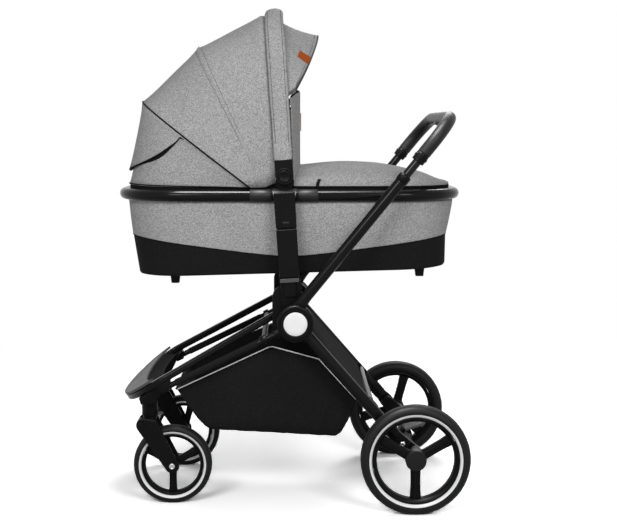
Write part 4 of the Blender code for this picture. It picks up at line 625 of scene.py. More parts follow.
def make_bracket(side, sign):
    """The hub's fixed middle: a column under the post, a flange and the tubes' seats."""
    inner, outer = sign * 0.206, sign * 0.218
    up = turned(POST_ANGLE)
    across = -left_of(up)
    top = POST_FOOT - up * 0.0004
    column = Shape().prism([
        top - across * 0.0245, top + across * 0.0245, HUB + across * 0.0235, HUB - across * 0.0260,
    ], inner + sign * 0.0012, outer - sign * 0.0012)
    column.prism([
        *vectors((-0.0265, 0.5297), (0.0150, 0.5297)), HUB + Vector((0.012, 0.0)),
        *vectors((-0.0200, 0.4200), (-0.0425, 0.4200), (-0.0425, 0.5057), (-0.0395, 0.5165),
                 (-0.0340, 0.5250)),
    ], sign * 0.1960, sign * 0.2075)
    column.prism(circle(HUB, 0.041, 72), inner, outer)
    column.prism(around([(HUB, 0.030), (rail_point(0.044), 0.012)]), inner + sign * 0.0006,
                 outer - sign * 0.0006)
    reach = sign * (FRAME_HUB_HALF - TUBE_WIDTH / 2 - 0.003)
    column.prism(around([(HUB, 0.028), (front_point(0.030), 0.0148)]), reach, sign * 0.203)
    column.rod(at(rail_point(0.026), sign * RAIL_Y), at(rail_point(0.058), sign * RAIL_Y), 0.0115, 32,
               0.001)
    column.bar(HUB, outer - sign * 0.004, sign * (CAP_Y - 0.0004), 0.0155, 32)
    column.piece(f"hub_bracket_{side}_body", "plastic", "chassis", f"hub_bracket_{side}", bevel=0.0012)


def make_hub(side, sign):
    cap_steps = (
        (CAP_RADIUS, 0, -0.0035, 0.0), (CAP_RADIUS, 0, -0.0006, 0.0016), (CAP_RADIUS, 0, 0, 0.0030),
        (CAP_RADIUS, 1, -0.0006, -0.0036), (CAP_RADIUS, 1, -0.0034, -0.0012),
        (CAP_RADIUS, 1, -0.0062, -0.0009), (CAP_RADIUS, 1, -0.0070, -0.0026),
        (CAP_RADIUS, 1, -0.0084, -0.0026), (CAP_RADIUS, 1, -0.0092, -0.0004),
        (CAP_RADIUS, 1, -0.0112, 0), (DISC_RADIUS, 1, 0.0016, -0.0002),
        (DISC_RADIUS, 1, 0.0004, -0.0010), (DISC_RADIUS, 1, 0.0004, -0.002), (0.0004, 1, 0, -0.002),
    )
    steps = [(0.0004, 0.0)] + [(r + dr, CAP_THICKNESS * high + dy) for r, high, dr, dy in cap_steps]
    cap = Shape().lathe([(r, CAP_Y + y) for r, y in steps], HUB, sign, 80)
    cap.piece(f"hub_cover_{side}", "plastic", "chassis", f"hub_cap_{side}", sharp=50)
    low = CAP_Y + CAP_THICKNESS - 0.0016
    disc = Shape().lathe([(r, low + y) for r, y in (
        (0.0004, 0), (DISC_RADIUS - 0.0002, 0), (DISC_RADIUS, 0.0006), (DISC_RADIUS, 0.0013),
        (DISC_RADIUS - 0.0008, 0.0020), (DISC_RADIUS * 0.5, 0.0024), (0.0004, 0.0025),
    )], HUB, sign, 72)
    disc.piece(f"hub_emblem_{side}", "reflector", "chassis", f"hub_disc_{side}", sharp=50)


def knuckle(sign, low, depth):
    """The round end of a leg or of the handle, turned about the hub's pin."""
    return Shape().lathe([(0.0088, low), (0.0403, low), (0.041, low + 0.001),
                          (0.041, low + depth - 0.001), (0.0403, low + depth), (0.0088, low + depth)],
                         HUB, sign, 64)


def make_leg(side, sign):
    """Rear leg: knuckle, tube, ribbed sleeve and the rounded bracket at the axle."""
    along = (LEG_BOLT - HUB).normalized()
    across = left_of(along)
    y = sign * LEG_Y
    end = (LEG_BOLT - HUB).length - 0.0185
    tube = Shape().rod(at(HUB + along * 0.044, y), at(HUB + along * end, y), LEG_RADIUS, 36)
    half = across * (LEG_RADIUS - 0.0012)
    root = HUB + along * 0.068
    tube.prism([HUB - half, root - half, root + half, HUB + half],
               sign * (LEG_KNUCKLE_Y + 0.0006), sign * (LEG_KNUCKLE_Y + 0.0130))
    tube.piece(f"leg_{side}", "frame", "rear_legs")
    knuckle(sign, LEG_KNUCKLE_Y, 0.0135).piece(f"leg_knuckle_{side}", "plastic", "rear_legs",
                                               f"rear_leg_{side}")
    start = end - 0.043
    profile = [(start, 0.0145), (start + 0.0008, 0.0155)]
    for i in range(5):
        base = start + 0.004 + i * 0.0062
        profile += [(base, 0.0155), (base + 0.0008, 0.0168), (base + 0.0030, 0.0168),
                    (base + 0.0038, 0.0155)]
    profile += [(end - 0.0016, 0.0155), (end - 0.0005, 0.0148)]
    sleeve = Shape().collar(profile, lambda s: HUB + along * s, across, y, 32)
    sleeve.piece(f"leg_sleeve_{side}", "plastic", "rear_legs", sharp=50)
    low, high = sign * (LEG_Y - 0.005), sign * (LEG_Y + 0.013)
    bracket = Shape().prism(around([(LEG_BOLT, 0.018), (LEG_BOLT - along * 0.0245, 0.0142)]), low, high)
    bracket.piece(f"leg_bracket_{side}", "plastic", "rear_legs", bevel=0.003, segments=3)
    bolt = Shape().lathe([(0.0004, 0.0), (0.0050, 0.0), (0.0062, 0.0006), (0.0062, 0.0022),
                          (0.0050, 0.0030), (0.0026, 0.0030), (0.0024, 0.0016), (0.0004, 0.0016)],
                         LEG_BOLT, sign, 28, high)
    bolt.piece(f"leg_bolt_{side}", "steel", "rear_legs")


# Wheels

def spoke_section(middle, half):
    """One spoke's section as (share of its half width, y), with a ridge on its outer face."""
    crest = middle + 0.38 * half
    low = crest - 0.0165
    rising = [(-1.0, low + 0.002), (-1.0, crest - 0.0052), (-0.90, crest - 0.0040),
              (-0.52, crest - 0.0030), (-0.44, crest)]
    return rising + [(-x, y) for x, y in rising[::-1]] + [(0.9, low), (-0.9, low)]


def make_wheel(end, side, sign, centre, middle, radius, half, seat, rim_in, ring, hub, spoke, spans):
    """Tyre with side wall and tread grooves, pale ring, rim, three ridged spokes and hub."""
    body = f"{end}_wheel_{side}"
    depth = radius - seat
    wall = [(seat + share * depth, y) for share, y in (
        (0.0, -0.60), (0.10, -0.78), (0.26, -0.93), (0.45, -1.0), (0.62, -0.97), (0.80, -0.84),
        (0.92, -0.64), (0.985, -0.44),
    )]
    left = wall + [(radius - groove, y) for groove, y in (
        (0, -0.34), (0.0011, -0.30), (0.0011, -0.24), (0, -0.20), (0, -0.05), (0.0011, -0.02),
    )]
    profile = left + [(r, -y) for r, y in left[::-1]]
    tyre = Shape().lathe([(r, middle + y * half) for r, y in profile], centre, sign, 128)
    tyre.piece(f"{end}_tyre_{side}_rubber", "tyre", body, f"{end}_tyre_{side}", sharp=45)

    def wall_at(r):
        for (r0, y0), (r1, y1) in zip(wall, wall[1:]):
            if r0 <= r <= r1:
                return (y0 + (y1 - y0) * (r - r0) / (r1 - r0)) * half

    band_radii = (ring[0], sum(ring) / 2, ring[1])
    for face, direction in (("out", 1), ("in", -1))[:1 if end == "rear" else 2]:
        lifted = [(r, middle + direction * (0.0006 - wall_at(r))) for r in band_radii]
        buried = [(r, middle - direction * (0.0010 + wall_at(r))) for r in band_radii[::-1]]
        band = Shape().lathe(lifted + buried, centre, sign, 112)
        band.piece(f"{end}_ring_{side}_{face}", "reflector", body, sharp=50)
    bead = [(rim_in, -0.50), (rim_in + 0.0008, -0.58), (seat - 0.0022, -0.76), (seat - 0.0006, -0.74)]
    profile = bead + [(r, -y) for r, y in bead[::-1]] + [(rim_in - 0.0012, 0.1), (rim_in - 0.0012, -0.1)]
    rim = Shape().lathe([(r, middle + y * half) for r, y in profile], centre, sign, 112)
    rim.piece(f"{end}_rim_{side}_band", "plastic", body, f"{end}_rim_{side}")
    spokes = Shape()
    section = spoke_section(middle, half)
    for i in range(3):
        out = turned((270 if sign < 0 else 75) + 120 * i)
        across = left_of(out)
        rings = []
        for share in shares(7):
            wide = spoke * (0.52 + 0.07 * (2 * abs(share - 0.42)) ** 2.2)
            base = centre + out * (hub * 0.6 + (rim_in + 0.002 - hub * 0.6) * share)
            rings.append([at(base + across * (s * wide), sign * y) for s, y in section])
        spokes.rings(rings)
    spokes.piece(f"{end}_spokes_{side}", "plastic", body, sharp=30, bevel=0.0007)
    inner_y, outer_y, bore = spans
    profile = [
        (bore, inner_y), (hub - 0.0015, inner_y), (hub - 0.0005, inner_y + 0.001),
        (hub, outer_y - 0.0045), (hub - 0.0006, outer_y - 0.0022), (hub - 0.0022, outer_y - 0.0012),
    ]
    if end == "rear":
        profile += [(hub - 0.0034, outer_y - 0.0012), (hub - 0.0040, outer_y), (0.0006, outer_y + 0.0006),
                    (0.0006, outer_y - 0.0052), (bore, outer_y - 0.0052)]
    else:
        profile += [(bore, outer_y - 0.0012)]
    core = Shape().lathe(profile, centre, sign, 64)
    core.piece(f"{end}_hub_{side}", "plastic_soft" if end == "rear" else "plastic", body, sharp=40)


def make_wheels():
    for side, sign in SIDES:
        make_wheel("rear", side, sign, REAR_AXLE, WHEEL_Y, radius=0.130, half=0.022, seat=0.102,
                   rim_in=0.0926, ring=(0.1038, 0.1102), hub=0.025, spoke=0.022,
                   spans=(WHEEL_Y - 0.013, WHEEL_Y + 0.019, 0.0069))
        make_wheel("front", side, sign, FRONT_AXLE, CASTER_Y, radius=0.095, half=0.0175, seat=0.0745,
                   rim_in=0.0671, ring=(0.0756, 0.0814), hub=0.014, spoke=0.0165,
                   spans=(CASTER_Y - 0.0195, CASTER_Y + 0.0195, 0.0068))


# Casters

def make_caster(side, sign):
    """The arms over the wheel, the axle's screw, and the head with its stem and screws."""
    y = sign * CASTER_Y
    outline = around([
        (CASTER_BOLT + Vector((0.006, 0.0)), 0.0175), (CASTER_BOLT + Vector((0.031, 0.0045)), 0.0085),
        (FRONT_AXLE, 0.0172),
    ], 48)
    arms = Shape()
    for low, high in ((-0.030, -0.021), (0.021, 0.030)):
        arms.prism(outline, y + low, y + high)
    arms.piece(f"caster_arms_{side}", "plastic", f"caster_fork_{side}", f"caster_arm_{side}",
               bevel=0.0032, segments=4)
    axle = Shape().bar(FRONT_AXLE, y - 0.031, y + 0.031, 0.0066, 32)
    knob = Shape()
    for way in (-1, 1):
        axle.lathe([(0.0005, 0.0295), (0.0072, 0.0295), (0.0074, 0.0308), (0.0066, 0.0322),
                    (0.0044, 0.0328), (0.0036, 0.0318), (0.0005, 0.0314)], FRONT_AXLE, way, 32, y)
        knob.lathe([(0.0005, 0.0300), (0.0072, 0.0300), (0.0076, 0.0312), (0.0070, 0.0328),
                    (0.0034, 0.0334), (0.0028, 0.0322), (0.0005, 0.0322)], CASTER_BOLT, way, 32, y)
    axle.piece(f"front_axle_{side}", "steel", f"caster_fork_{side}")
    knob.piece(f"caster_screws_{side}", "plastic", f"caster_{side}")
    head = Shape().prism(around([
        (CASTER_BOLT, 0.0125), (Vector((CASTER_X + 0.008, 0.2051)), 0.0045),
        (Vector((CASTER_X + 0.004, 0.1895)), 0.006),
    ], 40), y - 0.0202, y + 0.0202)
    head.piece(f"caster_head_{side}", "plastic", f"caster_{side}", f"caster_yoke_{side}",
               bevel=0.0022, segments=3)
    neck = Shape().rod((CASTER_X, y, 0.2026), (CASTER_X, y, 0.2138), 0.0165, 40, 0.0008)
    neck.rod((CASTER_X, y, 0.2130), (CASTER_X, y, 0.2398), 0.0078, 24)
    neck.bar(CASTER_BOLT, y - 0.0315, y + 0.0315, 0.005, 24)
    neck.piece(f"caster_stem_{side}", "plastic", f"caster_{side}")
    x = CASTER_X + 0.0194
    lever = Shape().rings([
        [Vector((x + u, y + v, z)) for u, v in
         ((0.0, -0.0058), (0.0095, -0.0058), (0.0128, -0.0035), (0.0128, 0.0035), (0.0095, 0.0058),
          (0.0, 0.0058))]
        for z in (0.2157, 0.2210)
    ])
    lever.piece(f"swivel_lever_{side}", "grey_plastic", f"swivel_lock_{side}_body",
                f"swivel_lock_{side}", bevel=0.0009)


# Push handle

HANDLE_UP = left_of(turned(HANDLE_ANGLE))


def handle_path(start):
    bend = CROSSBAR_AT - HANDLE_BEND
    left = [at(handle_point(start + (bend - start) * i / 6), -HANDLE_Y) for i in range(6)]
    for share in shares(14):
        angle = math.pi / 2 * share
        along = bend + HANDLE_BEND * math.sin(angle)
        left.append(at(handle_point(along), -HANDLE_Y + HANDLE_BEND * (1 - math.cos(angle))))
    inner = HANDLE_Y - HANDLE_BEND
    across = [at(handle_point(CROSSBAR_AT), -inner + 2 * inner * i / 12) for i in range(1, 12)]
    return left + across + mirrored(left)


def stitch_row(path, step=0.0042, length=0.0027):
    """Short stitches at equal steps along a path."""
    stitches = Shape()
    walked = 0.0
    for a, b in zip(path, path[1:]):
        gap = (b - a).length
        while walked < gap:
            start = a.lerp(b, walked / gap)
            stitches.rod(start, start + (b - a).normalized() * length, 0.00045, 6)
            walked += step
        walked -= gap
    return stitches


def make_grip():
    """Leatherette with a stitched seam inside, and ribs on the inner side of its ends."""
    path = smooth_curve(handle_path(GRIP_START), 3)
    last = len(path) - 1
    scales = [0.93 if i in (0, last) else 1.0 for i in range(last + 1)]
    grip = Shape().sweep(path, circle(ORIGIN, GRIP_RADIUS, 40), at(HANDLE_UP, 0), scales=scales)
    grip.piece("grip_cover", "leather", "handle_upper", "handle_grip")
    centre = at(handle_point(CROSSBAR_AT - 0.06), 0)
    seam = []
    for i, p in enumerate(path):
        inward = centre - p
        tangent = (path[min(i + 1, last)] - path[max(i - 1, 0)]).normalized()
        seam.append(p + (inward - tangent * inward.dot(tangent)).normalized() * GRIP_RADIUS)
    stitch_row(seam).piece("grip_stitches", "plastic_soft", "handle_upper", slot="leather")
    ribs = Shape()
    slope = turned(HANDLE_ANGLE)
    for sign in (-1, 1):
        for k in range(12):
            base = handle_point(GRIP_START + 0.014 + k * 0.0050)
            rings = []
            for share in shares(8):
                a = math.radians(-32 + 64 * share)
                rings.append([at(base + slope * u + HANDLE_UP * (math.sin(a) * v),
                                 sign * (HANDLE_Y - math.cos(a) * v)) for u, v in (
                    (-0.0009, 0.0152), (0.0009, 0.0152), (0.0006, 0.0168), (-0.0006, 0.0168),
                )])
            ribs.rings(rings)
    ribs.piece("grip_ribs", "plastic_soft", "handle_upper", slot="leather", sharp=50)


def make_handle():
    inner = Shape().sweep(handle_path(0.160), circle(ORIGIN, 0.0105, 32), at(HANDLE_UP, 0))
    inner.piece("handle_inner_tube", "inner", "handle_upper", "handle_inner")
    make_grip()
    for side, sign in SIDES:
        y = sign * HANDLE_Y
        collar = Shape().collar([(TRIGGER_START + s, r) for s, r in (
            (0, 0.0142), (0.0012, 0.0158), (0.0095, 0.0160), (0.0105, 0.0171), (0.0165, 0.0171),
            (0.0175, 0.0160), (0.0228, 0.0158), (0.0238, 0.0150),
        )], handle_point, HANDLE_UP, y)
        collar.piece(f"height_collar_{side}", "plastic", f"trigger_{side}", f"height_trigger_{side}",
                     sharp=45)
        tube = Shape().rod(at(handle_point(0.0445), y), at(handle_point(0.4309), y), 0.0135, 36)
        foot, reach = handle_point(0), handle_point(0.0645)
        half = HANDLE_UP * 0.0125
        tube.prism([foot - half - HANDLE_UP * 0.008, reach - half, reach + half, foot + half],
                   sign * (HANDLE_Y - 0.0075), sign * (HANDLE_Y + 0.0075))
        tube.piece(f"handle_lower_{side}", "frame", "handle_lower")
        cap = Shape().collar([(HANDLE_CAP_END - s, r) for s, r in (
            (0.0215, 0.0139), (0.0200, 0.0152), (0.0075, 0.0154), (0.0030, 0.0148), (0.0008, 0.0128),
            (0, 0.0118),
        )], handle_point, HANDLE_UP, y)
        cap.piece(f"handle_cap_{side}", "plastic", "handle_lower", sharp=50)
        knuckle(sign, HANDLE_KNUCKLE_Y, 0.016).piece(
            f"handle_knuckle_{side}", "plastic", "handle_lower", f"handle_tube_{side}")
    face = handle_point(CROSSBAR_AT - 0.0140)
    tip = handle_point(CROSSBAR_AT - 0.0203)
    button = Shape().prism([face - HANDLE_UP * 0.006, face + HANDLE_UP * 0.006,
                            tip + HANDLE_UP * 0.0045, tip - HANDLE_UP * 0.0045], -0.017, 0.017)
    button.piece("fold_button", "grey_plastic", "handle_button_body", "handle_button",
                 bevel=0.0014, segments=3)


# Carrycot

def cot_outline(inset, corner_steps=12, long_steps=26, short_steps=6):
    """Points (x, y) round the cot at this distance inside the rim's centreline."""
    corner = RIM_CORNER - inset
    sx = RIM_HALF_LENGTH - inset - corner
    sy = RIM_HALF_WIDTH - inset - corner

    def corner_point(quarter, angle):
        cx, cy = ((1, 1), (-1, 1), (-1, -1), (1, -1))[quarter % 4]
        return Vector((cx * sx + corner * math.cos(angle), cy * sy + corner * math.sin(angle)))

    points = []
    for quarter in range(4):
        points += [corner_point(quarter, math.pi / 2 * (quarter + share))
                   for share in shares(corner_steps)]
        start = points[-1]
        end = corner_point(quarter + 1, math.pi / 2 * (quarter + 1))
        steps = short_steps if quarter % 2 else long_steps
        points += [start.lerp(end, i / steps) for i in range(1, steps)]
    return points


def cot_bottom(x):
    return 0.557 + 0.026 * x


def tray_top(x):
    return 0.5995 + 0.139 * (math.sqrt(x * x + 0.0036) - 0.060)


def side_inset(share):
    return BOTTOM_INSET + (SHOULDER_INSET - BOTTOM_INSET) * max(0.0, share) ** 0.8


TRAY_SHARE = (tray_top(0) - cot_bottom(0)) / (SHOULDER_Z - cot_bottom(0))
TRAY_INSET = side_inset(TRAY_SHARE)


def cot_ring(inset, level, shift=0.0):
    height = level if callable(level) else lambda x: level
    return [Vector((p.x + shift, p.y, height(p.x))) for p in cot_outline(inset)]


def make_cot_sides():
    rows = []
    for share in shares(22):
        ring = []
        for p in cot_outline(side_inset(TRAY_SHARE + (1 - TRAY_SHARE) * share)):
            point = Vector((p.x, p.y, tray_top(p.x) + (SHOULDER_Z - tray_top(p.x)) * share))
            out = Vector((p.x / RIM_HALF_LENGTH ** 2, p.y / RIM_HALF_WIDTH ** 2, 0)).normalized()
            swell = (0.0012 + soft(point, 9, 0.0011)) * bulge(share)
            swell -= 0.0080 * share ** 0.8 * clamped((-p.x - 0.22) / 0.16)
            ring.append(point + out * swell)
        rows.append(ring)
    rows.append(cot_ring(0.0085, SHOULDER_Z + 0.004))
    sides = Shape().rings(rows, caps=False)
    cloth = sides.piece("cot_sides", "melange", "carrycot", "cot_body", sharp=80, thickness=0.0025,
                        level=1)


def make_cot_base():
    rows = [cot_ring(BOTTOM_INSET + extra, lambda x: cot_bottom(x) + lift, BASE_SHIFT)
            for extra, lift in ((0.035, 0), (0.008, 0), (0.0030, 0.0012), (0.0006, 0.0045))]
    for share in shares(8):
        inset = BOTTOM_INSET + (TRAY_INSET - BOTTOM_INSET) * share
        foot = 0.009 * (1 - share)
        rows.append(cot_ring(inset, lambda x: cot_bottom(x) * (1 - share) + foot + tray_top(x) * share,
                             BASE_SHIFT * (1 - share)))
    rows += [cot_ring(TRAY_INSET + 0.006, tray_top),
             cot_ring(BOTTOM_INSET + 0.007, lambda x: cot_bottom(x) + 0.012)]
    base = Shape().rings(rows)
    base.piece("cot_tray", "black_cloth", "carrycot", "cot_base", sharp=60)
    feet = Shape()
    for x in (-0.2823, 0.3207):
        for sign in (-1, 1):
            feet.rings([
                [Vector((x + q.x, sign * 0.105 + q.y, cot_bottom(x) + z))
                 for q in oval(2 * half, 2 * half, 28, 5.0)]
                for z, half in ((-0.0215, 0.0088), (-0.0203, 0.0100), (-0.0155, 0.0104), (0.003, 0.0128))
            ])
    feet.piece("cot_feet", "plastic", "carrycot", sharp=50)
    # Piped line between the pale sides and the base
    pipe = Shape().sweep(cot_ring(TRAY_INSET - 0.0006, tray_top), circle(ORIGIN, 0.0011, 10), closed=True)
    pipe.piece("cot_piping", "tape", "carrycot")


def make_cot():
    outline = cot_outline(0.0, corner_steps=16, long_steps=4, short_steps=2)
    rim_path = [Vector((p.x * 0.990, p.y, RIM_Z)) for p in outline]
    rim = Shape().sweep(rim_path, circle(ORIGIN, RIM_RADIUS, 36), closed=True)
    rim.piece("rim_tube", "frame", "carrycot", "cot_rim")
    make_cot_sides()
    # The black band that stands inside the rim, with its zip
    band = Shape().rings([
        cot_ring(0.0085, SHOULDER_Z + 0.003), cot_ring(LIP_INSET, SHOULDER_Z + 0.009),
        cot_ring(LIP_INSET, LIP_TOP_Z - 0.0012), cot_ring(LIP_INSET + 0.0014, LIP_TOP_Z),
        cot_ring(LIP_INSET + 0.0045, LIP_TOP_Z), cot_ring(LIP_INSET + 0.006, LIP_TOP_Z - 0.002),
        cot_ring(LIP_INSET + 0.006, SHOULDER_Z), cot_ring(LIP_INSET + 0.004, SHOULDER_Z),
    ], closed=True)
    band.piece("cot_lip", "tape", "carrycot")
    lining = Shape().rings([
        cot_ring(TRAY_INSET + 0.0060, lambda x: tray_top(x) + 0.001),
        cot_ring(LIP_INSET + 0.0070, SHOULDER_Z), cot_ring(LIP_INSET + 0.0062, LIP_TOP_Z - 0.003),
    ], caps=False)
    lining.piece("cot_lining", "lining", "carrycot", thickness=0.002)
    make_cot_base()


def make_mattress():
    rows = []
    for extra, height in ((0.010, 0.0), (0.002, 0.006), (0.0, 0.012), (0.0004, 0.022), (0.004, 0.029),
                          (0.014, 0.0335), (0.040, 0.036), (0.075, 0.0374), (0.120, 0.038)):
        ring = cot_ring(BOTTOM_INSET + COT_WALL + 0.006 + extra, lambda x: cot_bottom(x) + 0.0124 + height)
        quilt = 0.0016 if height > 0.03 else 0
        rows.append([point + Vector((0, 0, soft(point, 14, quilt))) for point in ring])
    pad = Shape().rings(rows).piece("mattress_pad", "lining", "carrycot", "mattress", sharp=70)


def apron_half_width(x):
    over = max(0.0, x - LIP_STRAIGHT)
    return RIM_HALF_WIDTH - RIM_CORNER + math.sqrt(max(0.0, LIP_CORNER ** 2 - over ** 2))


def make_apron():
    profile = smooth_curve(vectors(
        (APRON_X - 0.0165, 0.039), (0.0850, 0.047), (0.1467, 0.0505), (0.2227, 0.0445),
        (0.2817, 0.0360), (0.3317, 0.0245), (0.3740, 0.0070), (0.3960, 0.0016),
    ), 6)
    base = LIP_TOP_Z + 0.0022
    rows = []
    for x, height in profile:
        half = apron_half_width(x)
        row = [Vector((x, -half - 0.0022, base - 0.0046))]
        for share in shares(48):
            y = -math.cos(math.pi * share) * half
            arch = bulge(share) ** 0.75
            fold = soft((x, y * 2.2, 0), 11, 0.0030, 3.1) * arch * min(1.0, height / 0.03)
            row.append(Vector((x, y, base + height * arch + fold)))
        row.append(Vector((x, half + 0.0022, base - 0.0046)))
        rows.append(row)
    apron = Shape().sheet(rows).piece("apron_cover", "melange", "carrycot", "apron", sharp=80,
                                      thickness=0.003, level=1)
    # Zip tape along the lip, and a loop of tape at its near side
    edge = [Vector((x, -apron_half_width(x) - 0.0026, base - 0.0056)) for x, _ in profile]
    zipper = Shape().sweep(edge + mirrored(edge), oval(0.0030, 0.0042, 12))
    zipper.piece("apron_zip", "tape", "carrycot")
    rings = []
    for share in shares(20):
        centre = Vector((0.0660 + 0.0052 * bulge(share) ** 0.7,
                         -apron_half_width(0.07) - 0.0020 - 0.0024 * math.cos(math.pi * share),
                         LIP_TOP_Z - 0.0010 + 0.0165 * bulge(share) ** 0.6))
        rings.append([centre + Vector((u, v, 0)) for u, v in
                      ((-0.0038, -0.0006), (0.0038, -0.0006), (0.0038, 0.0006), (-0.0038, 0.0006))])
    Shape().rings(rings).piece("apron_loop", "tape", "carrycot")


def flap_point(share, level):
    """The wind flap's middle surface. share runs -1..1 across and level 0..1 upwards."""
    low = LIP_TOP_Z + 0.0006
    corner = 1 - 0.10 * abs(share) ** 8 * level ** 4
    y = share * (FLAP_HALF - 0.010 * (1 - level))
    x = APRON_X - 0.0004 - (0.014 + 0.010 * level) * abs(share) ** 3
    return Vector((x, y, low + (FLAP_TOP_Z - low) * level * corner))


def hinge_flap(obj):
    low, high = FLAP_HINGE_Z
    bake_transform(obj, "carrycot", "flap", start=(APRON_X, 0, low), end=(APRON_X, 0, high))


def make_flap():
    rows = []
    for level in shares(24):
        row = [flap_point(2 * share - 1, level) for share in shares(40)]
        rows.append([p - Vector((abs(soft((p.y * 1.5, p.z, 0), 10, 0.0012, 8.0) * bulge(level)), 0, 0))
                     for p in row])
    cloth = Shape().sheet(rows).object("flap_cloth", M["melange"], sharp=80, thickness=0.0055, level=1)
    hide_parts("wind_flap")
    hinge_flap(cloth)
    for side, sign in SIDES:
        edge = [flap_point(sign, level) - Vector((0.0022, 0, 0)) for level in shares(24)[1:]]
        binding = Shape().sweep(edge, oval(0.0024, 0.0044, 12), (0, 1, 0))
        bound = binding.object(f"flap_binding_{side}", M["tape"])
        hinge_flap(bound)
        y = sign * 0.1815
        hook = Shape().rod((0.0180, y, 0.9965), (0.0030, y, 0.9845), 0.0022, 14, 0.0006)
        hook.rod((0.0206, y, 0.9985), (0.0160, y, 0.9950), 0.0036, 18, 0.0010)
        hook.rod((0.0032, y, 0.9850), (0.0010, y, 0.9660), 0.0010, 10)
        hook.rod((0.0008, y, 0.9590), (0.0008, y, 0.9535), 0.0026, 14, 0.0006)
        hook.piece(f"flap_hook_{side}", "plastic", "flap", slot="black_cloth")
        clip = Shape().rod((0.0009, y, 0.9655), (0.0008, y, 0.9592), 0.0022, 14, 0.0006)
        clip.piece(f"flap_clip_{side}", "steel", "flap")
    tag = Shape().rings([
        [flap_point(y / FLAP_HALF, level) + Vector((front, 0, 0))
         for y, front in ((-0.045, 0.0032), (-0.045, 0.0050), (0.005, 0.0050), (0.005, 0.0032))]
        for level in (0.564, 0.757)
    ])
    tag.piece("flap_tag", "tag", "flap", bevel=0.0004)


# Posts that carry the cot

POST_UP = turned(POST_ANGLE)
POST_ACROSS = -left_of(POST_UP)


def on_post(along, half_x, half_z):
    """A rectangle on the post's side, at this height along it."""
    centre = POST_FOOT + POST_UP * along
    return [centre + POST_ACROSS * x + POST_UP * z for x, z in
            ((-half_x, -half_z), (half_x, -half_z), (half_x, half_z), (-half_x, half_z))]


def make_clamp(side, sign):
    """Two sleeves on the rim and the collar between them."""
    clamp = Shape()
    for low, high in ((-0.0961, HOOD_AXIS.x - 0.0300), (HOOD_AXIS.x + 0.0300, 0.0677)):
        clamp.rings([
            [Vector((x, sign * RIM_HALF_WIDTH + p.x, RIM_Z + p.y)) for p in circle(ORIGIN, r, 40)]
            for x, r in ((low, 0.0131), (low, 0.0148), (low + 0.0008, 0.0155), (high - 0.0008, 0.0155),
                         (high, 0.0148), (high, 0.0131))
        ], closed=True)
    clamp.piece(f"rim_clamp_{side}", "clamp", "carrycot", sharp=50)
    profile = ((0.1900, 0.0170, 0.0285), (0.2010, 0.0172, 0.0290), (0.2090, 0.0150, 0.0300),
               (0.2160, 0.0105, 0.0300), (0.2215, 0.0050, 0.0285), (0.2262, -0.0020, 0.0258),
               (0.2285, -0.0090, 0.0245), (0.2285, -0.0160, 0.0240), (0.1900, -0.0160, 0.0240))
    collar = Shape().rings([[Vector((HOOD_AXIS.x + way * half, sign * depth, RIM_Z + lift))
                             for depth, lift, half in profile] for way in (-1, 1)])
    collar.piece(f"clamp_collar_{side}", "clamp", "carrycot", bevel=0.0016, segments=3)


def make_post(side, sign):
    total = (RIM_Z + 0.010 - POST_FOOT.y) / POST_UP.y
    post = Shape()
    for low, high in ((0.0, POST_SEAM - 0.0005), (POST_SEAM + 0.0005, total)):
        (a, wide_a), (b, wide_b) = [
            (POST_FOOT + POST_UP * along, POST_ACROSS * (0.0238 + 0.0017 * along / total))
            for along in (low, high)
        ]
        post.prism([a - wide_a, a + wide_a, b + wide_b, b - wide_b],
                   sign * POST_SIDES[0], sign * POST_SIDES[1])
    post.piece(f"post_{side}", "plastic", "carrycot", f"cot_post_{side}", bevel=0.0034, segments=4)
    a, b = POST_FOOT - POST_UP * 0.045, POST_FOOT + POST_UP * (POST_SEAM + 0.02)
    slot = POST_ACROSS * 0.0148
    core = Shape().prism([a - slot * 0.9, a + slot * 0.9, b + slot, b - slot], sign * 0.213, sign * 0.225)
    core.piece(f"post_tongue_{side}", "plastic", "carrycot", bevel=0.001)
    make_clamp(side, sign)
    plate = Shape().prism(hull([
        *circle(HOOD_AXIS, 0.017, 40),
        *vectors((HOOD_AXIS.x - 0.019, RIM_Z + 0.006), (HOOD_AXIS.x + 0.019, RIM_Z + 0.006)),
    ]), sign * 0.186, sign * 0.197)
    plate.piece(f"hood_plate_{side}", "plastic", "carrycot", bevel=0.0015)
    pin = Shape().bar(HOOD_AXIS, sign * 0.171, sign * 0.2108, 0.004, 24, 0.0005)
    pin.piece(f"hood_pin_{side}", "steel", "carrycot")
    button = Shape().prism(on_post(CATCH_AT, 0.0077, 0.0030), sign * 0.2275, sign * 0.2300)
    button.piece(f"post_catch_{side}", "plastic_soft", f"post_button_{side}_body", f"post_button_{side}",
                 slot="grey_plastic", bevel=0.0008)
    # A thin dark patch on the post's face, not a hollow, paints the shade of the catch's recess
    recess_shade = Shape().prism(on_post(CATCH_AT, 0.0090, 0.0043), sign * 0.2280, sign * 0.22925)
    recess_shade.piece(f"post_catch_recess_{side}", "tape", "carrycot", slot="plastic", bevel=0.0003)
    # The pale bar at the foot of the post, on the bracket
    stripe = Shape().prism(on_post(-0.0050, 0.0225, 0.0046), sign * 0.2300, sign * 0.2325)
    stripe.piece(f"bracket_bar_{side}", "grey_plastic", "chassis", bevel=0.0006)


# Bars across the frame

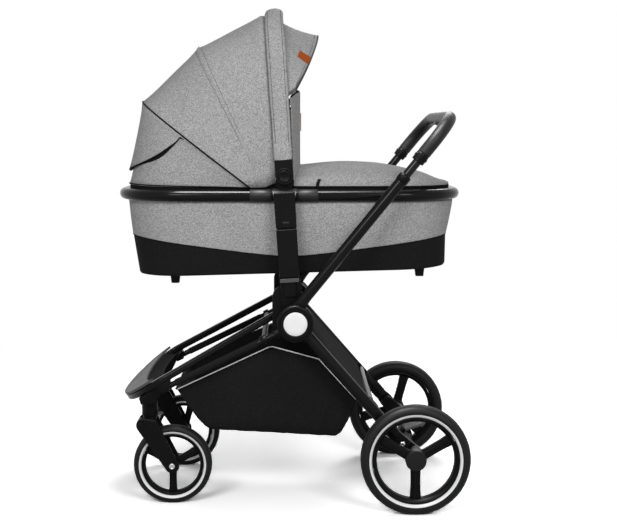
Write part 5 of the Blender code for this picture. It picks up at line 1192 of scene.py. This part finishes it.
def make_cross_bar():
    bar = Shape().bar(rail_point(0.087), -0.213, 0.213, 0.007, 32)
    bar.piece("cross_bar", "plastic", "chassis", "front_cross_tube", slot="frame")
    for side, sign in SIDES:
        clip = Shape().collar(((0.080, 0.0075), (0.080, 0.0107), (0.0808, 0.0115), (0.0932, 0.0115),
                               (0.094, 0.0107), (0.094, 0.0075)),
                              rail_point, left_of(turned(RAIL_SLOPE)), sign * RAIL_Y, closed=True)
        clip.piece(f"cross_bar_clip_{side}", "plastic", "chassis", sharp=50)


def make_leg_bars():
    """The brace between the legs and the cloth stretched above it, black cloth whose colour is darkened
    further as painted shade.
    """
    along = (LEG_BOLT - HUB).normalized()
    up = left_of(along)
    middle = HUB + along * 0.268 + up * 0.006
    brace = Shape().bar(middle, -0.2245, 0.2245, 0.008, 32)
    brace.piece("leg_brace", "frame", "rear_legs", "rear_cross_brace")
    for side, sign in SIDES:
        plate = Shape().prism(around([(middle - along * 0.010, 0.009), (middle + along * 0.014, 0.009)]),
                              sign * 0.2212, sign * 0.2252)
        plate.piece(f"brace_plate_{side}", "plastic", "rear_legs", bevel=0.0008)
    rows = []
    for share in shares(16):
        row = []
        for across in (2 * k - 1 for k in shares(24)):
            dip = 0.0040 * (1 - across ** 2) * bulge(share)
            row.append(at(HUB + along * (0.050 + 0.204 * share) + up * (0.0075 - dip),
                          LEG_PANEL_Y * across))
        rows.append(row)
    # The cloth's colour is darker than the other black cloth: painted shade between the legs
    cloth = Shape().sheet(rows).piece("leg_panel", "panel", "rear_legs", sharp=80, thickness=0.0020)


def make_axle():
    beam = Shape().bar(REAR_AXLE, -LEG_Y, LEG_Y, 0.010, 36)
    beam.piece("rear_axle_beam", "frame", "rear_axle", "axle_beam")
    for side, sign in SIDES:
        housing = Shape().prism(circle(REAR_AXLE, 0.0212, 48), sign * 0.2133, sign * 0.2536)
        housing.prism(around([(REAR_AXLE, 0.0200), (LEG_BOLT, 0.0158)], 48), sign * 0.2138, sign * 0.2338)
        housing.piece(f"axle_housing_{side}", "plastic", "rear_axle", bevel=0.0022, segments=3)
        stub = Shape().bar(REAR_AXLE, sign * 0.2496, sign * 0.2925, 0.006, 28, 0.0006)
        stub.bar(LEG_BOLT, sign * 0.2298, sign * 0.2390, 0.004, 20)
        stub.piece(f"stub_axle_{side}", "steel", "rear_axle")


def make_brake():
    out = turned(18)
    rise = left_of(out)
    edge = [(0.0110, 0.028), (0.0150, 0.028), (0.0158, 0.0272)]
    sleeve = Shape().lathe([(r, -y) for r, y in edge] + edge[::-1], REAR_AXLE, 1, 40)
    sleeve.piece("brake_sleeve", "plastic", "brake", "brake_pedal", sharp=50)
    root = REAR_AXLE + rise * 0.0123
    tread = Shape().prism([root + out * x + rise * z for x, z in (
        (0.002, -0.0028), (0.052, -0.0028), (0.056, 0.0014), (0.052, 0.0042), (0.002, 0.0028),
    )], -0.040, 0.040)
    for k in range(5):
        tread.bar(root + out * (0.016 + 0.0075 * k) + rise * 0.0036, -0.034, 0.034, 0.0011, 10)
    tread.piece("brake_tread", "grey_plastic", "brake", bevel=0.0009)


# Hood. Its surface is read by place, 0..3 from the bow to the hem, and turn, 0..pi over the top

HOOD_MIDDLE = Vector((HOOD_AXIS.x - 0.05, 0, HOOD_AXIS.y))


def seam_point(seam, turn):
    top, foot = seam
    rise = max(0.0, math.sin(turn)) ** 0.74
    half = CLOTH_HALF + (HOOD_FOOT_HALF - CLOTH_HALF) * (1 - rise) ** 3
    return at(foot + (top - foot) * rise, signed_power(-math.cos(turn), 0.74) * half)


def hem_point(turn):
    """The hood's bottom line, along the lip from joint to joint round the head end."""
    z = LIP_TOP_Z - 0.0020 - 0.0035 * max(0.0, 1 - 2.6 * min(turn, math.pi - turn) / math.pi)
    start_x = REAR_SEAM[1].x - 0.0024
    half = RIM_HALF_WIDTH - LIP_INSET + 0.0020
    run = start_x + LIP_STRAIGHT
    arc = LIP_CORNER * math.pi / 2
    share = turn / math.pi
    sign = -1 if share <= 0.5 else 1
    s = min(share, 1 - share) * 2 * (run + arc + half - LIP_CORNER)
    if s <= run:
        return Vector((start_x - s, sign * half, z))
    if s <= run + arc:
        a = (s - run) / LIP_CORNER
        return Vector((-LIP_STRAIGHT - LIP_CORNER * math.sin(a),
                       sign * (half - LIP_CORNER + LIP_CORNER * math.cos(a)), z))
    return Vector((-LIP_STRAIGHT - LIP_CORNER, sign * (half - LIP_CORNER - (s - run - arc)), z))


def hood_line(index, turn):
    if index == 3:
        return hem_point(turn)
    return seam_point((BOW_SEAM, FRONT_SEAM, REAR_SEAM)[index], turn)


def hood_point(place, turn, lift=0.0):
    """A point of the hood's surface, or one lifted off it."""
    panel = min(2, int(place))
    share = place - panel
    point = hood_line(panel, turn).lerp(hood_line(panel + 1, turn), share)
    over = max(0.0, math.sin(turn))
    sag = HOOD_SAG[panel] * (1 - abs(2 * share - 1) ** 5) * over ** 0.5
    # Tension folds that fan out from the joints
    fan = bulge(share) * math.exp(-((over - 0.42) / 0.30) ** 2)
    angle = share * 3.1 + panel * 1.7
    fold = 0.0011 * fan * math.sin(2 * math.pi * angle + 1.2 * math.sin(3.0 * over))
    rough = soft(point, 8, 0.0016, 5.0 + panel) * bulge(share) * over
    # The cloth dips where it meets the bow's sleeve
    sag += 0.0100 * max(0.0, 1 - place / 0.075) ** 1.3 * over
    point -= (point - HOOD_MIDDLE).normalized() * (sag + fold + rough)
    return point + (point - HOOD_MIDDLE).normalized() * lift


def hood_share(point):
    """The share of the bow's turn at a point on the hood, from its angle about the joint."""
    angle = math.degrees(math.atan2(point.z - HOOD_AXIS.y, point.x - HOOD_AXIS.x)) % 360
    if angle > 200 or angle < 40:
        return 0.0 if angle > 180 else 1.0
    stops = ((BOW_ANGLE + 6, 1.0), (124.4, 0.613), (152.9, 0.242), (184.0, 0.0))
    if angle <= stops[0][0]:
        return 1.0
    for (a0, w0), (a1, w1) in zip(stops, stops[1:]):
        if angle <= a1:
            return w0 + (w1 - w0) * (angle - a0) / (a1 - a0)
    return 0.0


def fold_with_hood(obj):
    return blend_by(obj, "carrycot", "hood_front", (0, 0, 0.77), (0, 0, 1.2), hood_share)


def hood_cord(name, material, points, width, height):
    cord = Shape().sweep(points, oval(width, height, 12, 2.0), (0.02, 1, 0.01))
    fold_with_hood(cord.bent(name, material, sharp=60))


def hood_seam(name, material, place, trim, lift, width, height):
    """A cord along one line of the hood, lifted off the cloth and cut short at both ends."""
    line = [hood_point(place, trim + (math.pi - 2 * trim) * share, lift) for share in shares(150)]
    hood_cord(name, material, line, width, height)


def make_hood_cloth():
    surface = Shape().sheet([[hood_point(3.0 * share, math.pi * i) for i in shares(96)]
                             for share in shares(42)])
    hood = surface.bent("hood_cloth", "melange", sharp=80, thickness=0.0028)
    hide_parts("hood_panel_front", "hood_panel_middle", "hood_panel_rear")
    fold_with_hood(hood)


def make_hood_trim():
    """Two rows of stitches on the front rib's ridge, drawn as dark cords whose darkness paints the shade of
    the seam's creases, the piped rear seam and the hem tape.
    """
    # The rib's stitch rows are darkened to paint the shade in the seam's creases
    hood_seam("rib_stitch_shade_1", "melange_dark", 0.955, 0.03, 0.0017, 0.0009, 0.0006)
    hood_seam("rib_stitch_shade_2", "melange_dark", 1.045, 0.03, 0.0017, 0.0009, 0.0006)
    hood_seam("rib_channel_front", "melange", 1.0, 0.02, 0.0012, 0.0080, 0.0024)
    hood_seam("rear_seam_piping", "tape", 2.0, 0.0, 0.0014, 0.0040, 0.0036)
    hood_seam("rear_seam_stitching", "melange_dark", 2.06, 0.05, 0.0015, 0.0009, 0.0006)
    hood_seam("hood_hem", "tape", 2.985, 0.01, 0.0016, 0.0030, 0.0050)


def from_side(turn):
    return math.degrees(min(turn, math.pi - turn))


def vent_share(turn):
    """How far down the rear panel the vent flap reaches."""
    return 0.06 + 0.82 * (1 - math.exp(-max(0.0, from_side(turn) - 31) / 19.0))


def make_vent():
    """The vent flap hangs from the rear seam and ends in a piped edge. Below that edge a dark band paints
    the flap's shadow together with a dark facing.
    """
    turns = [math.radians(29) + math.radians(122) * share for share in shares(96)]

    def flap_lift(share, turn):
        return (0.0016 + 0.0052 * share ** 2 * min(1.0, vent_share(turn) / 0.5)
                + 0.0040 * share ** 2 * math.sin(turn) ** 6)

    grid = [[hood_point(2.02 + (vent_share(turn) - 0.02) * share, turn, flap_lift(share, turn))
             for turn in turns] for share in shares(10)]
    flap = fold_with_hood(Shape().sheet(grid).bent("vent_flap", "melange", sharp=80, thickness=0.0018))
    hood_cord("vent_edge", "tape", grid[-1], 0.0026, 0.0030)

    # A dark band below the flap's edge, widest where the flap stands off most: a dark facing and the flap's
    # painted shadow in one
    def facing_and_shadow_width(turn):
        return 0.050 * math.exp(-((from_side(turn) - 47) / 11) ** 2) + 0.006

    band = [[hood_point(1.99 + vent_share(turn) + facing_and_shadow_width(turn) * depth, turn,
                        0.0040 - 0.0018 * depth) for turn in turns] for depth in (0.0, 1.0)]
    fold_with_hood(Shape().sheet(band).bent("vent_facing_and_shadow", "tape", sharp=80, thickness=0.0012))


# Sun visor

def visor_point(side, share):
    """The visor's surface. side runs -1..1 across and share 0..1 from the bow to the edge."""
    direction = turned(BOW_ANGLE)
    rise = (1 - (abs(side) * VISOR_HALF / BOW_Y) ** 2.7) ** (1 / 2.7)
    start = (HOOD_AXIS - left_of(direction) * 0.0218
             + direction * (0.398 * rise * (0.945 - 0.055 * abs(side) ** 4)))
    edge = Vector((0.0717 - 0.0560 * abs(side) ** 2.1, 1.1420 - 0.1340 * abs(side) ** 1.5))
    droop = Vector((0, -0.004 * bulge(share) * (1 - abs(side))))
    return at(start.lerp(edge, share) + droop, side * VISOR_HALF)


def visor_lifted(side, share, lift):
    u = visor_point(min(1, side + 0.01), share) - visor_point(max(-1, side - 0.01), share)
    v = visor_point(side, min(1, share + 0.02)) - visor_point(side, max(0, share - 0.02))
    normal = u.cross(v).normalized()
    return visor_point(side, share) + (normal if normal.z > 0 else -normal) * lift


def visor_weight(point):
    """0 at the bow, 1 past the first third of the visor's depth."""
    side = max(-1.0, min(1.0, point.y / VISOR_HALF))
    a, b = visor_point(side, 0), visor_point(side, 1)
    t = clamped((point - a).dot(b - a) / (b - a).length_squared / 0.30)
    return t * t * (3 - 2 * t)


def turn_with_visor(obj):
    return blend_by(obj, "hood_front", "sun_visor", (0, 0, 1.0), (0.05, 0, 1.0), visor_weight)


def make_visor():
    across = [2 * share - 1 for share in shares(80)]
    grid = [[visor_lifted(side, share, soft(visor_point(side, share), 12, 0.0014, 9.0) * bulge(share))
             for side in across] for share in shares(12)]
    cloth = Shape().sheet(grid).bent("visor_cloth", "melange", sharp=80, thickness=0.0028)
    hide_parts("visor")
    turn_with_visor(cloth)
    hem = Shape().sweep([visor_point(side, 0.995) for side in across], oval(0.0046, 0.0042, 14, 2.2),
                        (0.2, 0, 1))
    turn_with_visor(hem.bent("visor_hem", "melange_dark", sharp=60))
    row = Shape().sweep([visor_lifted(side * 0.985, 0.90, 0.0016) for side in across],
                        oval(0.0010, 0.0008, 8), (0.2, 0, 1))
    turn_with_visor(row.bent("visor_stitching", "melange_dark"))
    # The small leather tag on the near side
    corners = vectors((-0.633, 0.59), (-0.600, 0.985), (-0.705, 0.985), (-0.730, 0.54))
    outline = [a.lerp(b, k / 6) for a, b in zip(corners, corners[1:] + corners[:1]) for k in range(6)]
    tag = Shape().rings([[visor_lifted(p.x, p.y, lift) for p in outline] for lift in (0.0014, 0.0030)])
    turn_with_visor(tag.bent("visor_tag", "tag", bevel=0.0005))


# Front bow

BOW_NORMAL = at(left_of(turned(BOW_ANGLE)), 0)
SLEEVE_HALF = 0.023
SLEEVE_FACE = 0.0085


def bow_point(turn, power=2.7, start=0.020):
    rise = max(0.0, math.sin(turn)) ** (2 / power)
    return at(HOOD_AXIS + turned(BOW_ANGLE) * (start + (BOW_REACH - start) * rise),
              signed_power(-math.cos(turn), 2 / power) * BOW_Y)


def sleeve_form(point):
    """The sleeve's depth and the power of its section, both larger over the top."""
    over = max(0.0, 1 - (abs(point.y) / 0.17) ** 4)
    return SLEEVE_FACE + 0.0065 * over, 2.35 - 0.25 * over


def make_sleeve(path):
    last = len(path) - 1
    direction = turned(BOW_ANGLE)
    rings, scales = [], []
    for i, p in enumerate(path):
        scale = 1.0 - 0.07 * abs(2 * i / last - 1) ** 6 - (0.03 if i in (0, last) else 0.0)
        scales.append(scale)
        tangent = (path[min(i + 1, last)] - path[max(i - 1, 0)]).normalized()
        outward = BOW_NORMAL.cross(tangent).normalized()
        if outward.dot(p - at(HOOD_AXIS + direction * 0.15, 0)) < 0:
            outward = -outward
        depth, power = sleeve_form(p)
        rings.append([p + outward * ((SLEEVE_FACE - depth + depth * q.x) * scale)
                      + BOW_NORMAL * (SLEEVE_HALF * q.y * scale) for q in oval(2, 2, 48, power)])
    sleeve = Shape().rings(rings)
    for v in sleeve.verts:
        v += Vector((soft(v, 16, 0.0012, 2.0), 0, soft(v, 14, 0.0010, 4.0)))
    cloth = sleeve.piece("bow_sleeve_cloth", "melange", "hood_front", "bow_sleeve", sharp=70)
    # A seam near each edge of the sleeve's outer face
    for name, aside in (("sleeve_seam_1", 0.0165), ("sleeve_seam_2", -0.0165)):
        seam = []
        for i in range(3, last - 2):
            outward = path[i] - at(HOOD_AXIS + direction * 0.20, 0)
            tangent = (path[i + 1] - path[i - 1]).normalized()
            outward -= tangent * outward.dot(tangent)
            outward -= BOW_NORMAL * outward.dot(BOW_NORMAL)
            depth, power = sleeve_form(path[i])
            height = SLEEVE_FACE - depth + depth * (1 - (abs(aside) / SLEEVE_HALF) ** power) ** (1 / power)
            seam.append(path[i] + BOW_NORMAL * (aside * scales[i])
                        + outward.normalized() * (height * scales[i] + 0.0002))
        Shape().sweep(seam, oval(0.0010, 0.0010, 8), BOW_NORMAL).piece(name, "melange_dark", "hood_front")


def make_bow():
    full = [bow_point(math.pi * share) for share in shares(120)]
    wire = Shape().sweep(full, circle(ORIGIN, 0.005, 20), BOW_NORMAL)
    wire.piece("hood_bow_wire", "frame", "hood_front", "hood_bow", slot="plastic")
    path = [p for p in full if p.z > HOOD_AXIS.y + 0.046]
    ends = [Vector((p.x + 0.0004, p.y, HOOD_AXIS.y + 0.0395)) for p in (path[0], path[-1])]
    make_sleeve([ends[0], *path, ends[1]])
    low, high = BLOCK_Y
    direction = turned(BOW_ANGLE)
    neck = HOOD_AXIS + direction * 0.041
    across = left_of(direction) * 0.0208
    outline = hull([*circle(HOOD_AXIS, 0.0215, 64), neck + across, neck - across])
    for side, sign in SIDES:
        block = Shape().prism(outline, sign * low, sign * (high - 0.0014))
        block.piece(f"bow_block_{side}", "plastic", "hood_front", bevel=0.0026, segments=4)
        bezel = Shape().lathe([(r, high + y) for r, y in (
            (0.0150, -0.0022), (0.0172, -0.0022), (0.0196, -0.0016), (0.0198, -0.0004),
            (0.0188, 0.0004), (0.0160, 0.0002), (0.0152, -0.0010),
        )], HOOD_AXIS, sign, 64)
        bezel.piece(f"hood_button_bezel_{side}", "plastic", "hood_front", sharp=60)
        face = Shape().lathe([(0.0004, 0.2140), (0.0141, 0.2140), (0.0148, 0.2150), (0.0148, 0.2174),
                              (0.0140, 0.2182), (0.0118, 0.2183), (0.0106, 0.2176), (0.0004, 0.2172)],
                             HOOD_AXIS, sign, 64)
        face.piece(f"hood_button_face_{side}", "plastic", f"hood_button_{side}_body",
                   f"hood_button_{side}", sharp=50)


# CAD nodes that stay on show

def smoothing():
    """Smooth shading with sharp edges kept, as one shared modifier."""
    tree = bpy.data.node_groups.new("smooth shading", "GeometryNodeTree")
    for way in ("INPUT", "OUTPUT"):
        tree.interface.new_socket("Geometry", in_out=way, socket_type="NodeSocketGeometry")
    start = add_node(tree, "NodeGroupInput")
    angle = add_node(tree, "GeometryNodeInputMeshEdgeAngle")
    flat = add_node(tree, "FunctionNodeCompare",
                    {"A": angle.outputs["Unsigned Angle"], "B": math.radians(40)}, operation="LESS_THAN")
    faces = add_node(tree, "GeometryNodeSetShadeSmooth", {"Geometry": start.outputs[0]}, domain="FACE")
    edges = add_node(tree, "GeometryNodeSetShadeSmooth",
                     {"Geometry": faces.outputs[0], "Shade Smooth": flat.outputs[0]}, domain="EDGE")
    add_node(tree, "NodeGroupOutput", {0: edges.outputs[0]})
    return tree


SMOOTH = smoothing()


def finish_cad(node, material, width):
    """Gives a CAD node on show its material, rounded edges and smooth shading."""
    obj = NODES[node]
    obj.data.materials.clear()
    obj.data.materials.append(M[material])
    obj.modifiers.new("weld", "WELD").merge_threshold = 1e-6
    add_bevel(obj, width, 2, 45, use_clamp_overlap=True)
    obj.modifiers.new("shade", "NODES").node_group = SMOOTH


# Basket

BASKET_TOP = vectors((-0.2720, 0.279), (-0.0463, 0.383), (0.0697, 0.3515), (0.0945, 0.3240),
                     (0.1605, 0.2520))
BASKET_FLOOR = vectors((-0.2090, 0.188), (-0.1930, 0.178), (0.1097, 0.160), (0.1237, 0.168),
                       (0.1400, 0.200))
BASKET_LOW = [BASKET_FLOOR[0] + Vector((-0.010, 0.014)), *BASKET_FLOOR]
BASKET_HALF = 0.1850


def basket_side(share, sign):
    """One side of the bag's section at this share of its length, from the top edge down."""
    top, low = poly_point(BASKET_TOP, share), poly_point(BASKET_LOW, share)
    points = []
    for t in shares(12):
        corner = 0.015 * max(0.0, t - 0.90) ** 1.5 / 0.10 ** 1.5
        belly = 0.0030 * bulge(t) * min(1.0, min(share, 1 - share) / 0.08)
        crease = 0.0022 * math.sin(share * 55 + 4 * t) * math.exp(-((t - 0.85) / 0.3) ** 2)
        point = at(top.lerp(low, t), sign * (BASKET_HALF - corner + belly + crease))
        points.append(point + Vector((soft(point, 10, 0.0030, 1.0), soft(point, 12, 0.0024, 6.0), 0)))
    return points


def gather(obj, *nodes):
    """Lets a bent piece of the basket ride on the frame, with a mesh of its own."""
    if nodes:
        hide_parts(*nodes)
    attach(obj, "chassis")
    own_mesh(obj)
    return obj


def make_basket():
    """One loft: both sides and the floor in each cross-section, closed at the front and back."""
    rows = []
    for share in shares(60):
        left, right = basket_side(share, -1), basket_side(share, 1)[::-1]
        floor = []
        for t in shares(18)[1:-1]:
            point = left[-1].lerp(right[0], t)
            rise = 0.0012 - 0.0030 * bulge(t) + soft(point, 9, 0.0020, 2.0)
            floor.append(point + Vector((0, 0, rise)))
        rows.append(left + floor + right)
    bag = Shape().sheet(rows)
    for row in (rows[0], rows[-1]):
        pairs = zip(row[: len(row) // 2 + 1], row[::-1])
        bag.sheet([[a.lerp(b, c) for c in shares(14)] for a, b in pairs])
    cloth = gather(bag.bent("basket_cloth", "black_cloth", sharp=80, thickness=0.0022), "basket")
    for side, sign in SIDES:
        line = [at(poly_point(BASKET_TOP, share), sign * 0.1862) for share in shares(60)]
        piping = Shape().sweep(line, circle(ORIGIN, 0.0014, 12), (0, 1, 0))
        gather(piping.bent(f"basket_piping_{side}", "piping"))
    for name, row in (("front", rows[0]), ("back", rows[-1])):
        tape = Shape().sweep([row[0].lerp(row[-1], c) for c in shares(20)], oval(0.010, 0.0034, 16))
        gather(tape.bent(f"basket_hem_{name}", "tape"))


# Assembly

make_front_frame()
make_footrest()
make_rails()
make_cross_bar()
make_leg_bars()
make_axle()
make_brake()
make_wheels()
for side, sign in SIDES:
    make_bracket(side, sign)
    make_hub(side, sign)
    make_leg(side, sign)
    make_caster(side, sign)
    make_post(side, sign)
    finish_cad(f"caster_socket_{side}", "plastic", 0.0012)
make_handle()
make_cot()
make_mattress()
make_apron()
make_flap()
make_hood_cloth()
make_hood_trim()
make_vent()
make_visor()
make_bow()
finish_cad("hood_rib_front", "steel", 0.0006)
finish_cad("hood_rib_rear", "steel", 0.0006)
make_basket()


# Camera, lamps and floor

def make_camera():
    """Looks a little down and a little towards the handle."""
    data = bpy.data.cameras.new("camera")
    data.sensor_fit = "HORIZONTAL"
    data.sensor_width = 36
    width, height = 617, 530
    focal_length, horizon_row = 1283, 196.9
    data.lens = focal_length / width * data.sensor_width
    data.shift_y = -(height / 2 - horizon_row) / width
    camera = bpy.data.objects.new("camera", data)
    camera.location = (-0.0073, -3.265, 0.911)
    camera.rotation_euler = (math.radians(90 - 3.1), 0, math.radians(-0.97))
    bpy.context.scene.collection.objects.link(camera)
    bpy.context.scene.camera = camera


def make_lamp(name, location, target, size, power, shine_only=False):
    """An area lamp; one that only shines gives gloss and leaves cloth and floor as they are."""
    data = bpy.data.lights.new(name, "AREA")
    data.shape = "RECTANGLE"
    data.size, data.size_y = size
    data.energy = power
    lamp = bpy.data.objects.new(name, data)
    lamp.visible_diffuse = not shine_only
    lamp.location = location
    lamp.rotation_euler = (Vector(target) - Vector(location)).to_track_quat("-Z", "Y").to_euler()
    bpy.context.scene.collection.objects.link(lamp)


def empty_tree(owner):
    owner.use_nodes = True
    owner.node_tree.nodes.clear()
    return owner.node_tree


def make_world():
    """White where it is seen, plain or in gloss, and a dim even light elsewhere."""
    world = bpy.data.worlds.new("studio")
    bpy.context.scene.world = world
    tree = empty_tree(world)
    rays = add_node(tree, "ShaderNodeLightPath").outputs
    seen = rays["Is Camera Ray"]
    for kind in ("Is Glossy Ray", "Is Transmission Ray"):
        seen = add_node(tree, "ShaderNodeMath", {0: seen, 1: rays[kind]}, operation="MAXIMUM").outputs[0]
    ambient = add_node(tree, "ShaderNodeBackground", {"Color": (1, 1, 1, 1), "Strength": 0.25})
    white = add_node(tree, "ShaderNodeBackground", {"Color": (1, 1, 1, 1), "Strength": 1.0})
    mix = add_node(tree, "ShaderNodeMixShader", {0: seen, 1: ambient.outputs[0], 2: white.outputs[0]})
    add_node(tree, "ShaderNodeOutputWorld", {0: mix.outputs[0]})


def make_floor():
    """A round pale floor that fades into the white background."""
    shape = Shape().rings([[Vector((p.x, p.y, 0)) for p in circle(ORIGIN, r, 96)]
                           for r in (0.01, 0.5, 1.2, 2.0, 3.2)], caps=False)
    shape.faces.append(tuple(range(96)))
    material = bpy.data.materials.new("pale floor")
    tree = empty_tree(material)
    place = add_node(tree, "ShaderNodeTexCoord").outputs["Object"]
    length = add_node(tree, "ShaderNodeVectorMath", {0: place}, operation="LENGTH").outputs["Value"]
    fade = add_node(tree, "ShaderNodeMapRange", {"Value": length, "From Min": 0.9, "From Max": 2.6})
    camera_ray = add_node(tree, "ShaderNodeLightPath").outputs["Is Camera Ray"]
    gain = add_node(tree, "ShaderNodeMath", {0: camera_ray, 1: 0.95, 2: 0.80}, operation="MULTIPLY_ADD")
    white = add_node(tree, "ShaderNodeBsdfDiffuse", {"Color": gain.outputs[0]})
    clear = add_node(tree, "ShaderNodeBsdfTransparent")
    mix = add_node(tree, "ShaderNodeMixShader",
                   {0: fade.outputs[0], 1: white.outputs[0], 2: clear.outputs[0]})
    add_node(tree, "ShaderNodeOutputMaterial", {0: mix.outputs[0]})
    shape.object("floor", material)


make_camera()
make_world()
make_floor()
make_lamp("left", (-1.2, -3.0, 2.2), (0, 0, 0.8), (1.3, 1.1), 55)
make_lamp("right", (1.3, -3.0, 2.0), (0, 0, 0.8), (1.2, 1.0), 46)
make_lamp("back", (0.7, 2.6, 2.6), (0, 0, 0.8), (1.4, 1.2), 48)
make_lamp("gloss", (-0.28, -0.62, 3.0), (-0.1, -0.2, 0.80), (1.05, 1.1), 240, shine_only=True)
bpy.context.scene.view_settings.view_transform = "Standard"
